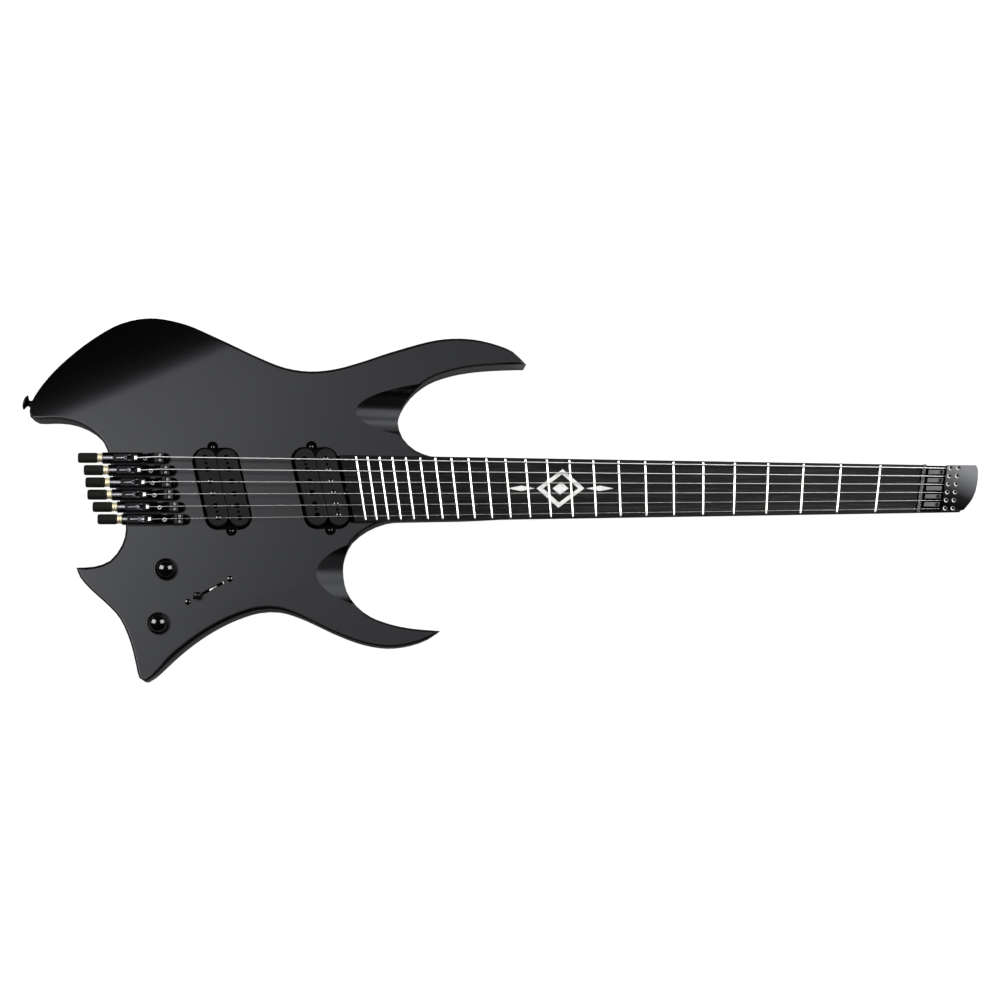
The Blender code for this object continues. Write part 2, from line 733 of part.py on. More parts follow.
def make_body():
    """The body: carved outside, routed for everything that it carries."""
    item = body_blank()
    cut(item, contour_tool("forearm_tool", FOREARM_START, FOREARM_END, FOREARM_ARC, FOREARM_SLOPE,
                           BODY_THICK, 1.0))
    cut(item, contour_tool("belly_tool", BELLY_START, BELLY_END, BELLY_ARC, BELLY_SLOPE, 0.0, -1.0))
    cut(item, scoop_tool("upper_scoop_tool", UPPER_SCOOP, BODY_THICK, UPPER_SCOOP_RADIUS,
                         UPPER_SCOOP_TILT, 1.0))
    cut(item, scoop_tool("lower_scoop_tool", LOWER_SCOOP, BODY_THICK, LOWER_SCOOP_RADIUS,
                         LOWER_SCOOP_TILT, 1.0))
    cut(item, scoop_tool("heel_tool", HEEL_CARVE, 0.0, HEEL_CARVE_RADIUS, HEEL_CARVE_TILT, -1.0))
    pocket_end = HEEL_END + 20.0
    start_half = neck_half(BOARD_START) + GAP
    end_half = neck_half(pocket_end) + GAP
    pocket = [(end_x(-start_half) - 4.0, -start_half), (pocket_end, -end_half),
              (pocket_end, end_half), (end_x(start_half) - 4.0, start_half)]
    cut(item, plate("neck_pocket_tool", pocket, BOARD_TOP - HEEL_THICK - GAP, BODY_THICK + 5.0))
    for name, centre in PICKUP_PLACES.items():
        outline = pickup_outline(centre, PICKUP_CAVITY_GAP, PICKUP_EAR_GAP)
        cut(item, plate(name + "_pickup_tool", outline, PICKUP_CAVITY_FLOOR, BODY_THICK + 5.0))
    ceiling = BODY_THICK - CAVITY_FRONT_WALL
    cut(item, plate("control_cavity_tool", rounded(CONTROL_CAVITY, 5.0), -2.0, ceiling))
    recess = rounded(grown(CONTROL_CAVITY, COVER_LEDGE), 6.0)
    cut(item, plate("cover_recess_tool", recess, -1.0, COVER_THICK + GAP))
    for name, centre in (("volume_hole_tool", VOLUME_PLACE), ("tone_hole_tool", TONE_PLACE)):
        cut(item, rod(name, 0.5 * POT_BUSH + GAP, (*centre, ceiling - 4.0), (*centre, BODY_THICK + 4.0), 24))
    slot = turned_in_plan(slot_outline(SWITCH_SLOT[0], SWITCH_SLOT[1], 4), SWITCH_PLACE, SWITCH_ANGLE - 90.0)
    cut(item, plate("switch_slot_tool", slot, ceiling - 4.0, BODY_THICK + 4.0))
    for side in (-0.5, 0.5):
        x, y = switch_point(side * SWITCH_SCREWS)
        cut(item, rod("switch_screw_tool", 1.5 + GAP, (x, y, ceiling - 4.0), (x, y, BODY_THICK + 4.0), 12))
    middle = 0.5 * BODY_THICK
    cut(item, rod("jack_recess_tool", 0.5 * JACK_RECESS, (JACK_SEAT - 40.0, JACK_Y, middle),
                  (JACK_SEAT, JACK_Y, middle), 32))
    cut(item, rod("jack_bore_tool", 0.5 * JACK_BARREL + GAP, (JACK_SEAT - 5.0, JACK_Y, middle),
                  (JACK_SEAT + 20.0, JACK_Y, middle), 24))
    cut(item, strap_hole("tail_strap_tool", tail_strap_matrix()))
    cut(item, strap_hole("heel_strap_tool", heel_strap_matrix()))
    mesh = item.data
    mesh.materials.append(body_finish())
    return smooth(item)


# Neck

def neck_thickness(x):
    """Neck with fretboard, from heel to head."""
    if x <= HEEL_END:
        return HEEL_THICK
    run = (x - HEEL_END) / (nut_line(0.0) - HEEL_END)
    plain = NECK_THICK_BODY + (NECK_THICK_NUT - NECK_THICK_BODY) * min(1.0, run)
    blend = min(1.0, (x - HEEL_END) / HEEL_BLEND)
    ease = blend * blend * (3.0 - 2.0 * blend)
    return HEEL_THICK + (plain - HEEL_THICK) * ease


def neck_section(x):
    """The neck's cross-section: square at the heel, round along the neck."""
    half = neck_half(x)
    depth = neck_thickness(x) - BOARD_THICK
    blend = min(1.0, max(0.0, (x - HEEL_END) / HEEL_BLEND))
    power = 2.0 / (2.3 + 14.0 * (1.0 - blend) ** 2)
    steps = 16
    ring = [(x, half, BOARD_UNDER)]
    for k in range(steps + 1):
        angle = math.pi * k / steps
        y = half * math.copysign(abs(math.cos(angle)) ** power, math.cos(angle))
        z = BOARD_UNDER - 1.2 - (depth - 1.2) * abs(math.sin(angle)) ** power
        ring.append((x, y, z))
    ring.append((x, -half, BOARD_UNDER))
    if x <= BOARD_START:
        ring = [(end_x(y), y, z) for _, y, z in ring]
    return ring


def make_neck():
    """The neck: tenon, heel, round back, and the seat of the string lock."""
    blend = [HEEL_END + HEEL_BLEND * share for share in (0.0, 0.2, 0.4, 0.6, 0.8, 1.0)]
    straight = [380.0, 480.0, 580.0, nut_line(0.0)]
    stations = [BOARD_START] + blend + straight + [HEAD_TIP + 4.0]
    item = loft("neck", [neck_section(x) for x in stations], guitar)
    rim = [(HEAD_TIP + 30.0, 40.0), (HEAD_OUTLINE[0][0], 40.0)]
    rim += list(HEAD_OUTLINE) + [(686.0, -30.0), (686.0, -40.0), (HEAD_TIP + 30.0, -40.0)]
    cut(item, plate("head_end_tool", rim, 0.0, BOARD_UNDER + 5.0))
    half = 0.5 * ROD_WIDTH + GAP
    deep = BOARD_UNDER - ROD_DEEP - 2.0 * GAP
    cut(item, block("rod_groove_tool", (BOARD_START - 20.0, -half, deep),
                    (ROD_END + GAP, half, BOARD_UNDER + 5.0)))
    item.data.materials.append(wood_finish())
    return smooth(item)


def make_truss_rod():
    """The two-way truss rod in its groove, its hex nut at the body end."""
    half = 0.5 * ROD_WIDTH
    low = BOARD_UNDER - ROD_DEEP - GAP
    item = block("truss_rod", (ROD_START, -half, low), (ROD_END, half, BOARD_UNDER - GAP), guitar)
    middle = 0.5 * (low + BOARD_UNDER - GAP)
    nut = rod("truss_nut_tool", ROD_NUT_RADIUS, (ROD_START - ROD_NUT_LENGTH, 0.0, middle),
              (ROD_START + 2.0, 0.0, middle), 12)
    cut(item, nut, "UNION")
    socket = rod("truss_socket_tool", 1.4, (ROD_START - ROD_NUT_LENGTH - 2.0, 0.0, middle),
                 (ROD_START - 2.0, 0.0, middle), 6)
    cut(item, socket)
    item.data.materials.append(steel())
    return item


# Fretboard and nut

def board_edge(share_along, side):
    """A plan point on the fretboard's edge, between its body end and the nut."""
    start = end_x(side * neck_half(BOARD_START))
    stop = nut_line(side * NECK_NUT_HALF) - GAP
    x = start + (stop - start) * share_along
    return x, side * neck_half(x)


def board_section(share_along):
    """Cross-section of the board: flat under, cambered on top."""
    right = board_edge(share_along, 1.0)
    left = board_edge(share_along, -1.0)
    ring = [(*left, BOARD_UNDER + GAP), (*right, BOARD_UNDER + GAP)]
    steps = 6
    for k in range(steps + 1):
        share = k / steps
        x = right[0] + (left[0] - right[0]) * share
        y = right[1] + (left[1] - right[1]) * share
        ring.append((x, y, BOARD_TOP - camber(y)))
    return ring


def fret(number):
    """One fret: a crowned bar that follows the camber."""
    bass, treble = fret_line(number)
    along = (treble - bass).normalized()
    across = Vector((-along.y, along.x))
    half = neck_half(0.5 * (bass.x + treble.x)) - FRET_OVERHANG
    start = bass + along * (bass.y - half) / -along.y
    end = bass + along * (bass.y + half) / -along.y
    wide = 0.5 * FRET_WIDTH
    crown = ((-wide, -0.4), (wide, -0.4), (0.8 * wide, 0.6 * FRET_HEIGHT), (0.0, FRET_HEIGHT),
             (-0.8 * wide, 0.6 * FRET_HEIGHT))
    rings = []
    for k in range(5):
        spot = start + (end - start) * k / 4.0
        trim = 0.8 if k in (0, 4) else 0.0
        ring = []
        for offset, height in crown:
            point = spot + across * offset
            lift = height if height < 0.3 else height - trim
            ring.append((point.x, point.y, BOARD_TOP - camber(point.y) + lift))
        rings.append(ring)
    return loft("fret_tool", rings)


def join_tools(tools):
    """Several tools as one object, so that one Boolean takes them all."""
    shape = bmesh.new()
    for tool in tools:
        shape.from_mesh(tool.data)
        bpy.data.objects.remove(tool)
    mesh = bpy.data.meshes.new("frets_tool")
    shape.to_mesh(mesh)
    shape.free()
    return place("frets_tool", mesh, None, cutters)


def make_fretboard():
    """The board with its frets pressed in."""
    item = loft("fretboard", [board_section(share / 4.0) for share in range(5)], guitar)
    frets = join_tools([fret(number) for number in range(1, FRETS + 1)])
    cut(item, frets, "UNION")
    item.data.materials.append(board_finish())
    return item


def sheared_box(name, start, end, low_y, high_y, low, high, group=None):
    """A block whose ends run parallel to the nut, start and end counted from the nut line."""
    outline = [(nut_line(low_y) + start, low_y), (nut_line(low_y) + end, low_y),
               (nut_line(high_y) + end, high_y), (nut_line(high_y) + start, high_y)]
    return plate(name, outline, low, high, group)


def make_nut():
    """The nut: a low metal bar with a notch for each string."""
    top = FRET_TOP + STRING_RISE_NUT + 0.9
    item = sheared_box("nut", 0.0, NUT_WIDTH, -NECK_NUT_HALF, NECK_NUT_HALF, BOARD_UNDER + GAP, top, guitar)
    for number in range(1, STRINGS + 1):
        x = nut_line(0.0)
        y = string_y(number, x)
        radius = 0.5 * STRING_SIZES[number - 1] + GAP
        height = string_height(number, x)
        tool = block("nut_notch_tool", (x - 12.0, y - radius, height - radius), (x + 12.0, y + radius, top + 3.0))
        cut(item, tool)
    item.data.materials.append(grey_metal())
    return item


# String lock

def make_lock():
    """The head's metal lock: fins between the strings, then a block with a bore for each."""
    low = BOARD_UNDER + GAP
    half = HEAD_OUTLINE[0][1]
    foot = HEAD_OUTLINE[-1]
    back = [(nut_line(foot[1]) + LOCK_START, foot[1] - 0.6)] + [foot]
    plan = back + list(HEAD_OUTLINE[-2::-1])
    plan += [(nut_line(half) + LOCK_START, half)]
    item = plate("head_lock", plan, low, LOCK_TOP, guitar)
    cut(item, sheared_box("front_level_tool", LOCK_START - 6.0, LOCK_BLOCK_START, -40.0, 40.0,
                          LOCK_FLOOR, LOCK_TOP + 2.0))
    x = nut_line(0.0) + LOCK_BLOCK_START
    for number in range(1, STRINGS):
        low_y = string_y(number + 1, x) + 0.5 * LOCK_SLOT
        high_y = string_y(number, x) - 0.5 * LOCK_SLOT
        cut(item, sheared_box("fin_tool", LOCK_FIN_START, LOCK_FIN_END, low_y, high_y,
                              LOCK_FLOOR - 1.0, LOCK_FIN_TOP), "UNION")
    for number in range(1, STRINGS + 1):
        y = string_y(number, x)
        start = nut_line(y)
        cut(item, rod("string_bore_tool", 0.5 * LOCK_BORE, (start + LOCK_FIN_END, y, LOCK_STRING_HEIGHT),
                      (start + LOCK_BORE_END, y, LOCK_STRING_HEIGHT), 8))
        for row in LOCK_SCREW_ROWS:
            cut(item, rod("lock_screw_tool", 0.5 * LOCK_SCREW, (start + row, y, LOCK_TOP - LOCK_SCREW_DEEP),
                          (start + row, y, LOCK_TOP + 2.0), 10))
    item.data.materials.append(grey_metal())
    return item


# Strings

def make_string(number):
    """One string from the lock over nut and saddle to its ball end."""
    radius = 0.5 * STRING_SIZES[number - 1]
    lock_x = nut_line(string_y(number, nut_line(0.0)))
    crest = saddle_x(number)
    ball_x = crest + BALL_PLACES[number - 1]
    ball_z = BODY_THICK + BALL_HEIGHT
    places = []
    for x, z in ((lock_x + LOCK_BORE_END - 1.0, LOCK_STRING_HEIGHT),
                 (lock_x + LOCK_BLOCK_START - 1.0, LOCK_STRING_HEIGHT),
                 (lock_x + 0.5 * NUT_WIDTH, string_height(number, lock_x)),
                 (crest, string_height(number, crest))):
        places.append((x, string_y(number, x), z))
    places.append((ball_x, unit_y(number), ball_z))
    curve = bpy.data.curves.new("string", "CURVE")
    curve.dimensions = "3D"
    curve.bevel_depth = radius * MM
    curve.bevel_resolution = 1
    curve.use_fill_caps = True
    line = curve.splines.new("POLY")
    line.points.add(len(places) - 1)
    for point, spot in zip(line.points, places):
        point.co = (*(Vector(spot) * MM), 1.0)
    wire = bpy.data.objects.new("string_wire", curve)
    bpy.context.scene.collection.objects.link(wire)
    mesh = evaluated_mesh(wire)
    bpy.data.objects.remove(wire)
    item = place("string_%d" % number, mesh, None, guitar)
    half = 0.5 * BALL_WIDTH
    ball = rod("ball_tool", 0.5 * BALL_DIAMETER, (ball_x, unit_y(number) - half, ball_z),
               (ball_x, unit_y(number) + half, ball_z), 12)
    cut(item, ball, "UNION")
    item.data.materials.append(steel())
    return item


# Single-string bridges

def side_profile(name, profile, width, group=None):
    """A piece cut from its side view: (along, height) points, spread evenly across the string."""
    tool = plate(name, profile, -0.5 * width, 0.5 * width, group)
    tool.data.transform(Matrix.Rotation(math.radians(90.0), 4, "X"))
    return tool


def base_mesh():
    """The bridge base: a channel with a bearing block behind and a round nose in front."""
    half = 0.5 * UNIT_WIDTH
    nose = arc((UNIT_NOSE - half, 0.0), half, -90.0, 90.0, 10)
    plan = [(UNIT_BACK, half), (UNIT_BACK, -half)] + nose
    item = plate("base_blank", plan, GAP, UNIT_WALL_TOP)
    steps = [(UNIT_LOW_START, UNIT_WALL_TOP + 3.0), (UNIT_LOW_START, UNIT_WALL_TOP - 1.0),
             (UNIT_LOW_START + 4.0, UNIT_LOW_WALL_TOP), (UNIT_NOSE + 3.0, UNIT_LOW_WALL_TOP),
             (UNIT_NOSE + 3.0, UNIT_WALL_TOP + 3.0)]
    cut(item, side_profile("low_wall_tool", steps, UNIT_WIDTH + 4.0))
    inner = half - UNIT_WALL
    cut(item, block("channel_tool", (UNIT_BACK + UNIT_BLOCK, -inner, GAP + UNIT_FLOOR),
                    (SADDLE_FRONT + GAP, inner, UNIT_WALL_TOP + 3.0)))
    seat = 0.5 * ROD_DIAMETER + GAP
    cut(item, rod("bearing_tool", seat, (UNIT_BACK - 3.0, 0.0, UNIT_AXIS),
                  (UNIT_BACK + UNIT_BLOCK + 3.0, 0.0, UNIT_AXIS), 16))
    cut(item, block("bearing_slot_tool", (UNIT_BACK - 3.0, -seat, UNIT_AXIS),
                    (UNIT_BACK + UNIT_BLOCK + 3.0, seat, UNIT_WALL_TOP + 3.0)))
    for along in UNIT_SCREW_PLACES:
        depth = UNIT_FLOOR if along < 0.0 else UNIT_LOW_WALL_TOP
        cut(item, rod("base_screw_tool", 0.5 * UNIT_SCREW, (along, 0.0, depth - 0.9), (along, 0.0, 12.0), 12))
    mesh = settle(item)
    mesh.materials.append(gloss_black())
    return mesh


def knob_mesh():
    """The tuning knob with its shank and threaded rod, turned about X."""
    radius = 0.5 * KNOB_DIAMETER
    stem = 0.5 * ROD_DIAMETER
    washer_end = UNIT_BACK - 2.0 * GAP - WASHER_LENGTH
    front = washer_end
    back = front - KNOB_LENGTH
    profile = [(0.0, ROD_TIP), (stem - 0.5, ROD_TIP), (stem, ROD_TIP - 0.5), (stem, front),
               (radius - 0.5, front), (radius, front - 0.5), (radius, back + 0.8), (radius - 0.8, back),
               (2.2, back), (1.6, back + 0.5), (0.0, back + 0.5)]
    item = turned("knob_blank", profile, KNOB_SIDES)
    item.data.transform(Matrix.Rotation(math.radians(90.0), 4, "Y"))
    mesh = settle(item)
    mesh.materials.append(black_metal())
    return mesh


def washer_mesh():
    """The pair of thrust washers between knob and base, one grooved ring."""
    outer = 0.5 * WASHER_DIAMETER
    inner = 0.5 * ROD_DIAMETER + GAP
    front = UNIT_BACK - GAP
    back = front - WASHER_LENGTH
    waist = 0.5 * (front + back)
    profile = [(inner, front), (outer, front), (outer, waist + 0.4), (outer - 0.6, waist),
               (outer, waist - 0.4), (outer, back), (inner, back), (inner, front)]
    item = turned("washer_blank", profile, 16)
    item.data.transform(Matrix.Rotation(math.radians(90.0), 4, "Y"))
    mesh = settle(item)
    mesh.materials.append(brass())
    return mesh


def carriage_mesh():
    """The sliding string carriage about its ball: threaded bore behind, ball pocket in front."""
    half = 0.5 * UNIT_WIDTH - UNIT_WALL - GAP
    low = 2.0 * GAP + UNIT_FLOOR
    front = CARRIAGE_AHEAD
    profile = [(-CARRIAGE_BEHIND, low), (front, low), (front, CARRIAGE_HEIGHT - 2.6),
               (front - 2.0, CARRIAGE_HEIGHT), (1.2 - CARRIAGE_BEHIND, CARRIAGE_HEIGHT),
               (-CARRIAGE_BEHIND, CARRIAGE_HEIGHT - 1.2)]
    item = side_profile("carriage_blank", profile, 2.0 * half)
    bore_end = -0.5 * BALL_DIAMETER - 2.0
    cut(item, rod("rod_bore_tool", 0.5 * ROD_DIAMETER + GAP, (-CARRIAGE_BEHIND - 3.0, 0.0, UNIT_AXIS),
                  (bore_end, 0.0, UNIT_AXIS), 16))
    window = 0.5 * CARRIAGE_SLOT
    cut(item, block("window_tool", (3.0 - CARRIAGE_BEHIND, -window, UNIT_AXIS),
                    (bore_end - 4.0, window, CARRIAGE_HEIGHT + 3.0)))
    pocket = 0.5 * BALL_DIAMETER + GAP
    wide = 0.5 * BALL_WIDTH + GAP
    cut(item, block("pocket_tool", (-pocket - CARRIAGE_TRAVEL, -wide, BALL_HEIGHT - pocket),
                    (pocket, wide, CARRIAGE_HEIGHT + 4.0)))
    cut(item, block("string_slot_tool", (0.0, -window, BALL_HEIGHT - 1.2),
                    (front + 3.0, window, CARRIAGE_HEIGHT + 5.0)))
    mesh = settle(item)
    mesh.materials.append(grey_metal())
    return mesh


def saddle_mesh(number):
    """The saddle on its two height screws, crest under the string."""
    crest = string_height(number, saddle_x(number)) - 0.5 * STRING_SIZES[number - 1] - GAP - BODY_THICK
    low = UNIT_LOW_WALL_TOP + GAP
    profile = [(SADDLE_BACK, low), (SADDLE_FRONT, low), (SADDLE_FRONT, crest - 3.6)]
    profile += [(2.0, crest - 1.6), (1.2, crest - 0.5), (0.0, crest), (-1.4, crest - 0.7)]
    profile += [(SADDLE_BACK, crest - 3.0)]
    item = side_profile("saddle_blank", profile, SADDLE_WIDTH)
    spread = 0.5 * SADDLE_WIDTH - 0.5 * SADDLE_SCREW - 0.7
    for side in (-spread, spread):
        foot = rod("saddle_foot_tool", 0.5 * SADDLE_SCREW, (SADDLE_SCREW_PLACE, side, 2.0 * GAP + UNIT_FLOOR),
                   (SADDLE_SCREW_PLACE, side, low + 1.5), 10)
        cut(item, foot, "UNION")
        seat = rod("saddle_screw_tool", 0.5 * SADDLE_SCREW, (SADDLE_SCREW_PLACE, side, crest - 2.9),
                   (SADDLE_SCREW_PLACE, side, crest + 3.0), 10)
        cut(item, seat)
    mesh = settle(item)
    mesh.materials.append(gloss_black())
    return mesh


def make_bridges():
    """Six single-string bridges, each set where its string needs it."""
    base = base_mesh()
    knob = knob_mesh()
    washer = washer_mesh()
    carriage = carriage_mesh()
    for number in range(1, STRINGS + 1):
        spot = Vector((saddle_x(number), unit_y(number), BODY_THICK))
        axis = spot + Vector((0.0, 0.0, UNIT_AXIS))
        here = Matrix.Translation(spot * MM)
        on_axis = Matrix.Translation(axis * MM)
        at_ball = Matrix.Translation((spot + Vector((BALL_PLACES[number - 1], 0.0, 0.0))) * MM)
        place("bridge_base_%d" % number, base, None, guitar, here)
        smooth(place("tuner_knob_%d" % number, knob, None, guitar, on_axis))
        smooth(place("thrust_washer_%d" % number, washer, None, guitar, on_axis))
        place("string_carriage_%d" % number, carriage, None, guitar, at_ball)
        place("saddle_%d" % number, saddle_mesh(number), None, guitar, here)


# Pickups

def coil_mesh(pole_pitch):
    """A bobbin: flanges above and below a narrower winding, with six pole screws."""
    top = COIL_TOP
    low = COIL_TOP - COIL_HEIGHT
    rings = []
    for height, waist in ((low, 0.0), (low + COIL_FLANGE, 0.0), (low + COIL_FLANGE, COIL_WAIST),
                          (top - COIL_FLANGE, COIL_WAIST), (top - COIL_FLANGE, 0.0), (top - 0.5, 0.0),
                          (top, 0.5)):
        outline = slot_outline(COIL_LENGTH - 2.0 * waist, COIL_WIDTH - 2.0 * waist, 6)
        rings.append([(x, y, height) for x, y in outline])
    item = loft("coil_blank", rings)
    for k in range(STRINGS):
        y = pole_pitch * (k - 0.5 * (STRINGS - 1))
        pole = rod("pole_tool", 0.5 * POLE_DIAMETER, (0.0, y, top - 1.0), (0.0, y, top + POLE_RISE), 10)
        cut(item, pole, "UNION")
    mesh = settle(item)
    mesh.materials.append(black_plastic())
    return mesh


def pickup_base(name, centre):
    """The baseplate with its two ears and the long screws that stand on the cavity floor."""
    high = COIL_TOP - COIL_HEIGHT - GAP
    outline = pickup_outline(centre, -GAP, -GAP)
    item = plate(name + "_pickup_base", outline, high - PICKUP_PLATE, high, guitar)
    for side in (-1.0, 1.0):
        x, y = slanted(side * PICKUP_EAR)
        x += centre[0]
        y += centre[1]
        cut(item, rod("ear_screw_tool", 0.5 * PICKUP_SCREW, (x, y, PICKUP_CAVITY_FLOOR + GAP),
                      (x, y, PICKUP_SCREW_TOP - 1.0), 12), "UNION")
        cut(item, rod("ear_head_tool", 0.5 * PICKUP_SCREW_HEAD, (x, y, high - 0.5),
                      (x, y, PICKUP_SCREW_TOP), 12), "UNION")
    item.data.materials.append(black_metal())
    return item


def make_pickups():
    """Two slanted twin-coil pickups screwed to their cavity floors."""
    for name, centre in PICKUP_PLACES.items():
        coil = coil_mesh(POLE_PITCH[name])
        pickup_base(name, centre)
        for side, label in ((-0.5, "rear"), (0.5, "front")):
            x = centre[0] + COIL_SHIFT[0] + side * COIL_PITCH
            y = centre[1] + COIL_SHIFT[1]
            matrix = Matrix.Translation((x * MM, y * MM, 0.0)) @ Matrix.Rotation(
                math.radians(PICKUP_SLANT), 4, "Z")
            place("%s_coil_%s" % (name, label), coil, None, guitar, matrix)


# Controls

def dial_mesh():
    """A domed control knob with a recess for the pot's nut and a bore for its shaft."""
    radius = 0.5 * DIAL_DIAMETER
    low = DIAL_LIFT
    profile = [(0.0, low + DIAL_HEIGHT)]
    rise = DIAL_HEIGHT - DIAL_STRAIGHT
    for k in range(1, 7):
        angle = 0.5 * math.pi * k / 6
        profile.append((radius * math.sin(angle), low + DIAL_STRAIGHT + rise * math.cos(angle)))
    recess = 0.5 * POT_NUT + 1.2
    bore = 0.5 * POT_SHAFT + GAP
    roof = low + POT_NUT_HEIGHT + 1.5
    profile += [(radius, low), (recess, low), (recess, roof), (bore, roof),
                (bore, POT_SHAFT_TOP + GAP), (0.0, POT_SHAFT_TOP + GAP)]
    mesh = settle(turned("dial_blank", profile, 28))
    mesh.materials.append(gloss_black())
    return mesh


def pot_mesh():
    """A potentiometer: can, threaded bush and nut, bored for its shaft."""
    top = -CAVITY_FRONT_WALL - GAP
    bore = 0.5 * POT_SHAFT + GAP
    can = 0.5 * POT_DIAMETER
    bush = 0.5 * POT_BUSH
    nut = 0.5 * POT_NUT
    profile = [(bore, GAP + POT_NUT_HEIGHT + 0.6), (bush, GAP + POT_NUT_HEIGHT + 0.6),
               (bush, GAP + POT_NUT_HEIGHT), (nut, GAP + POT_NUT_HEIGHT), (nut, GAP), (bush, GAP),
               (bush, top), (can, top), (can, top - POT_HEIGHT), (0.0, top - POT_HEIGHT),
               (0.0, top - 0.5 * POT_HEIGHT), (bore, top - 0.5 * POT_HEIGHT),
               (bore, GAP + POT_NUT_HEIGHT + 0.6)]
    mesh = settle(turned("pot_blank", profile, 20))
    mesh.materials.append(grey_metal())
    return mesh


def shaft_mesh():
    """The pot's shaft, in the knob's bore above and the can below."""
    radius = 0.5 * POT_SHAFT
    low = -CAVITY_FRONT_WALL - 0.5 * POT_HEIGHT
    profile = [(0.0, POT_SHAFT_TOP), (radius - 0.6, POT_SHAFT_TOP), (radius, POT_SHAFT_TOP - 0.6),
               (radius, low), (0.0, low)]
    mesh = settle(turned("shaft_blank", profile, 16))
    mesh.materials.append(steel())
    return mesh


def make_controls():
    """Volume and tone: pot, shaft and domed knob on one axis."""
    dial = dial_mesh()
    pot = pot_mesh()
    shaft = shaft_mesh()
    for name, centre in (("volume", VOLUME_PLACE), ("tone", TONE_PLACE)):
        matrix = Matrix.Translation(Vector((*centre, BODY_THICK)) * MM)
        smooth(place(name + "_knob", dial, None, guitar, matrix))
        smooth(place(name + "_pot", pot, None, guitar, matrix))
        smooth(place(name + "_shaft", shaft, None, guitar, matrix))


def switch_matrix():
    """Blade switch frame: X along its slot, Z out of the front, origin on the body's front."""
    spot = Matrix.Translation(Vector((*SWITCH_PLACE, BODY_THICK)) * MM)
    return spot @ Matrix.Rotation(math.radians(SWITCH_ANGLE), 4, "Z")


def make_switch():
    """The blade switch: slotted plate with cheeks and pivot pin, two screws, and its lever."""
    length, width, thick = SWITCH_PLATE
    top = -CAVITY_FRONT_WALL - GAP
    item = plate("switch_blank", box_outline(length, width), top - thick, top)
    cut(item, plate("plate_slot_tool", [(y, -x) for x, y in slot_outline(SWITCH_SLOT[0], 3.6, 4)],
                    top - thick - 2.0, top + 2.0))
    deep = -SWITCH_PIVOT - 4.0
    for side in (-1.0, 1.0):
        inner = side * (0.5 * width - SWITCH_CHEEK)
        outer = side * 0.5 * width
        low = (-0.5 * SWITCH_FRAME, min(inner, outer), deep)
        high = (0.5 * SWITCH_FRAME, max(inner, outer), top - 0.5 * thick)
        cut(item, block("cheek_tool", low, high), "UNION")
        x = side * 0.5 * SWITCH_SCREWS
        cut(item, rod("plate_screw_tool", 1.5, (x, 0.0, top - thick - 1.5), (x, 0.0, 0.8), 12), "UNION")
        head = turned("screw_head_tool", [(0.0, 1.9), (1.6, 1.6), (2.6, 0.9), (2.6, GAP), (0.0, GAP)], 12)
        head.location = (x * MM, 0.0, 0.0)
        cut(item, head, "UNION")
    pin = rod("pin_tool", 0.5 * SWITCH_PIN, (0.0, -0.5 * width + 0.4, -SWITCH_PIVOT),
              (0.0, 0.5 * width - 0.4, -SWITCH_PIVOT), 12)
    cut(item, pin, "UNION")
    bpy.context.view_layer.update()
    mesh = settle(item)
    mesh.materials.append(black_metal())
    place("switch_body", mesh, None, guitar, switch_matrix())

    arm_wide, arm_thick = SWITCH_ARM
    reach = SWITCH_PIVOT + SWITCH_TIP
    cap = 0.5 * SWITCH_CAP
    lever = side_profile("lever_blank", [(-0.5 * arm_wide, 0.0), (0.5 * arm_wide, 0.0),
                                         (0.3 * arm_wide, reach - 4.0), (-0.3 * arm_wide, reach - 4.0)],
                         arm_thick)
    hub = rod("hub_tool", 0.5 * SWITCH_PIN + 2.2, (0.0, -2.6, 0.0), (0.0, 2.6, 0.0), 16)
    cut(lever, hub, "UNION")
    tip = turned("tip_tool", [(0.0, reach), (0.6 * cap, reach - 0.5), (cap, reach - 2.4),
                              (0.9 * cap, reach - 5.6), (0.6 * cap, reach - 8.4), (0.0, reach - 8.4)], 14)
    cut(lever, tip, "UNION")
    cut(lever, rod("hub_bore_tool", 0.5 * SWITCH_PIN + GAP, (0.0, -4.0, 0.0), (0.0, 4.0, 0.0), 16))
    mesh = settle(lever)
    mesh.materials.append(black_plastic())
    pivot = switch_matrix() @ Matrix.Translation((0.0, 0.0, -SWITCH_PIVOT * MM))
    lean = Matrix.Rotation(math.radians(-SWITCH_LEAN), 4, "Y")
    place("switch_lever", mesh, None, guitar, pivot @ lean)


def make_cover():
    """The flush plate over the control cavity."""
    outline = rounded(grown(CONTROL_CAVITY, COVER_LEDGE - COVER_GAP), 6.0 - COVER_GAP)
    item = plate("rear_cover", outline, 0.0, COVER_THICK, guitar)
    item.data.materials.append(black_plastic())
    return item


# Output jack and strap buttons

def make_jack():
    """The barrel jack, its flange on the seat of the angled recess."""
    flange = 0.5 * JACK_FLANGE
    barrel = 0.5 * JACK_BARREL
    socket = 0.5 * JACK_SOCKET
    profile = [(0.0, JACK_LENGTH), (barrel - 0.8, JACK_LENGTH), (barrel, JACK_LENGTH - 0.8), (barrel, -GAP),
               (flange, -GAP), (flange, 0.5 - JACK_FLANGE_THICK), (flange - 0.5, -JACK_FLANGE_THICK),
               (socket + 1.0, -JACK_FLANGE_THICK), (socket, 1.0 - JACK_FLANGE_THICK),
               (socket, JACK_LENGTH - 2.0), (0.0, JACK_LENGTH - 2.0)]
    item = turned("output_jack", profile, 20, guitar)
    item.data.materials.append(black_metal())
    spot = Matrix.Translation(Vector((JACK_SEAT, JACK_Y, 0.5 * BODY_THICK)) * MM)
    item.matrix_world = spot @ Matrix.Rotation(math.radians(90.0), 4, "Y")
    return smooth(item)


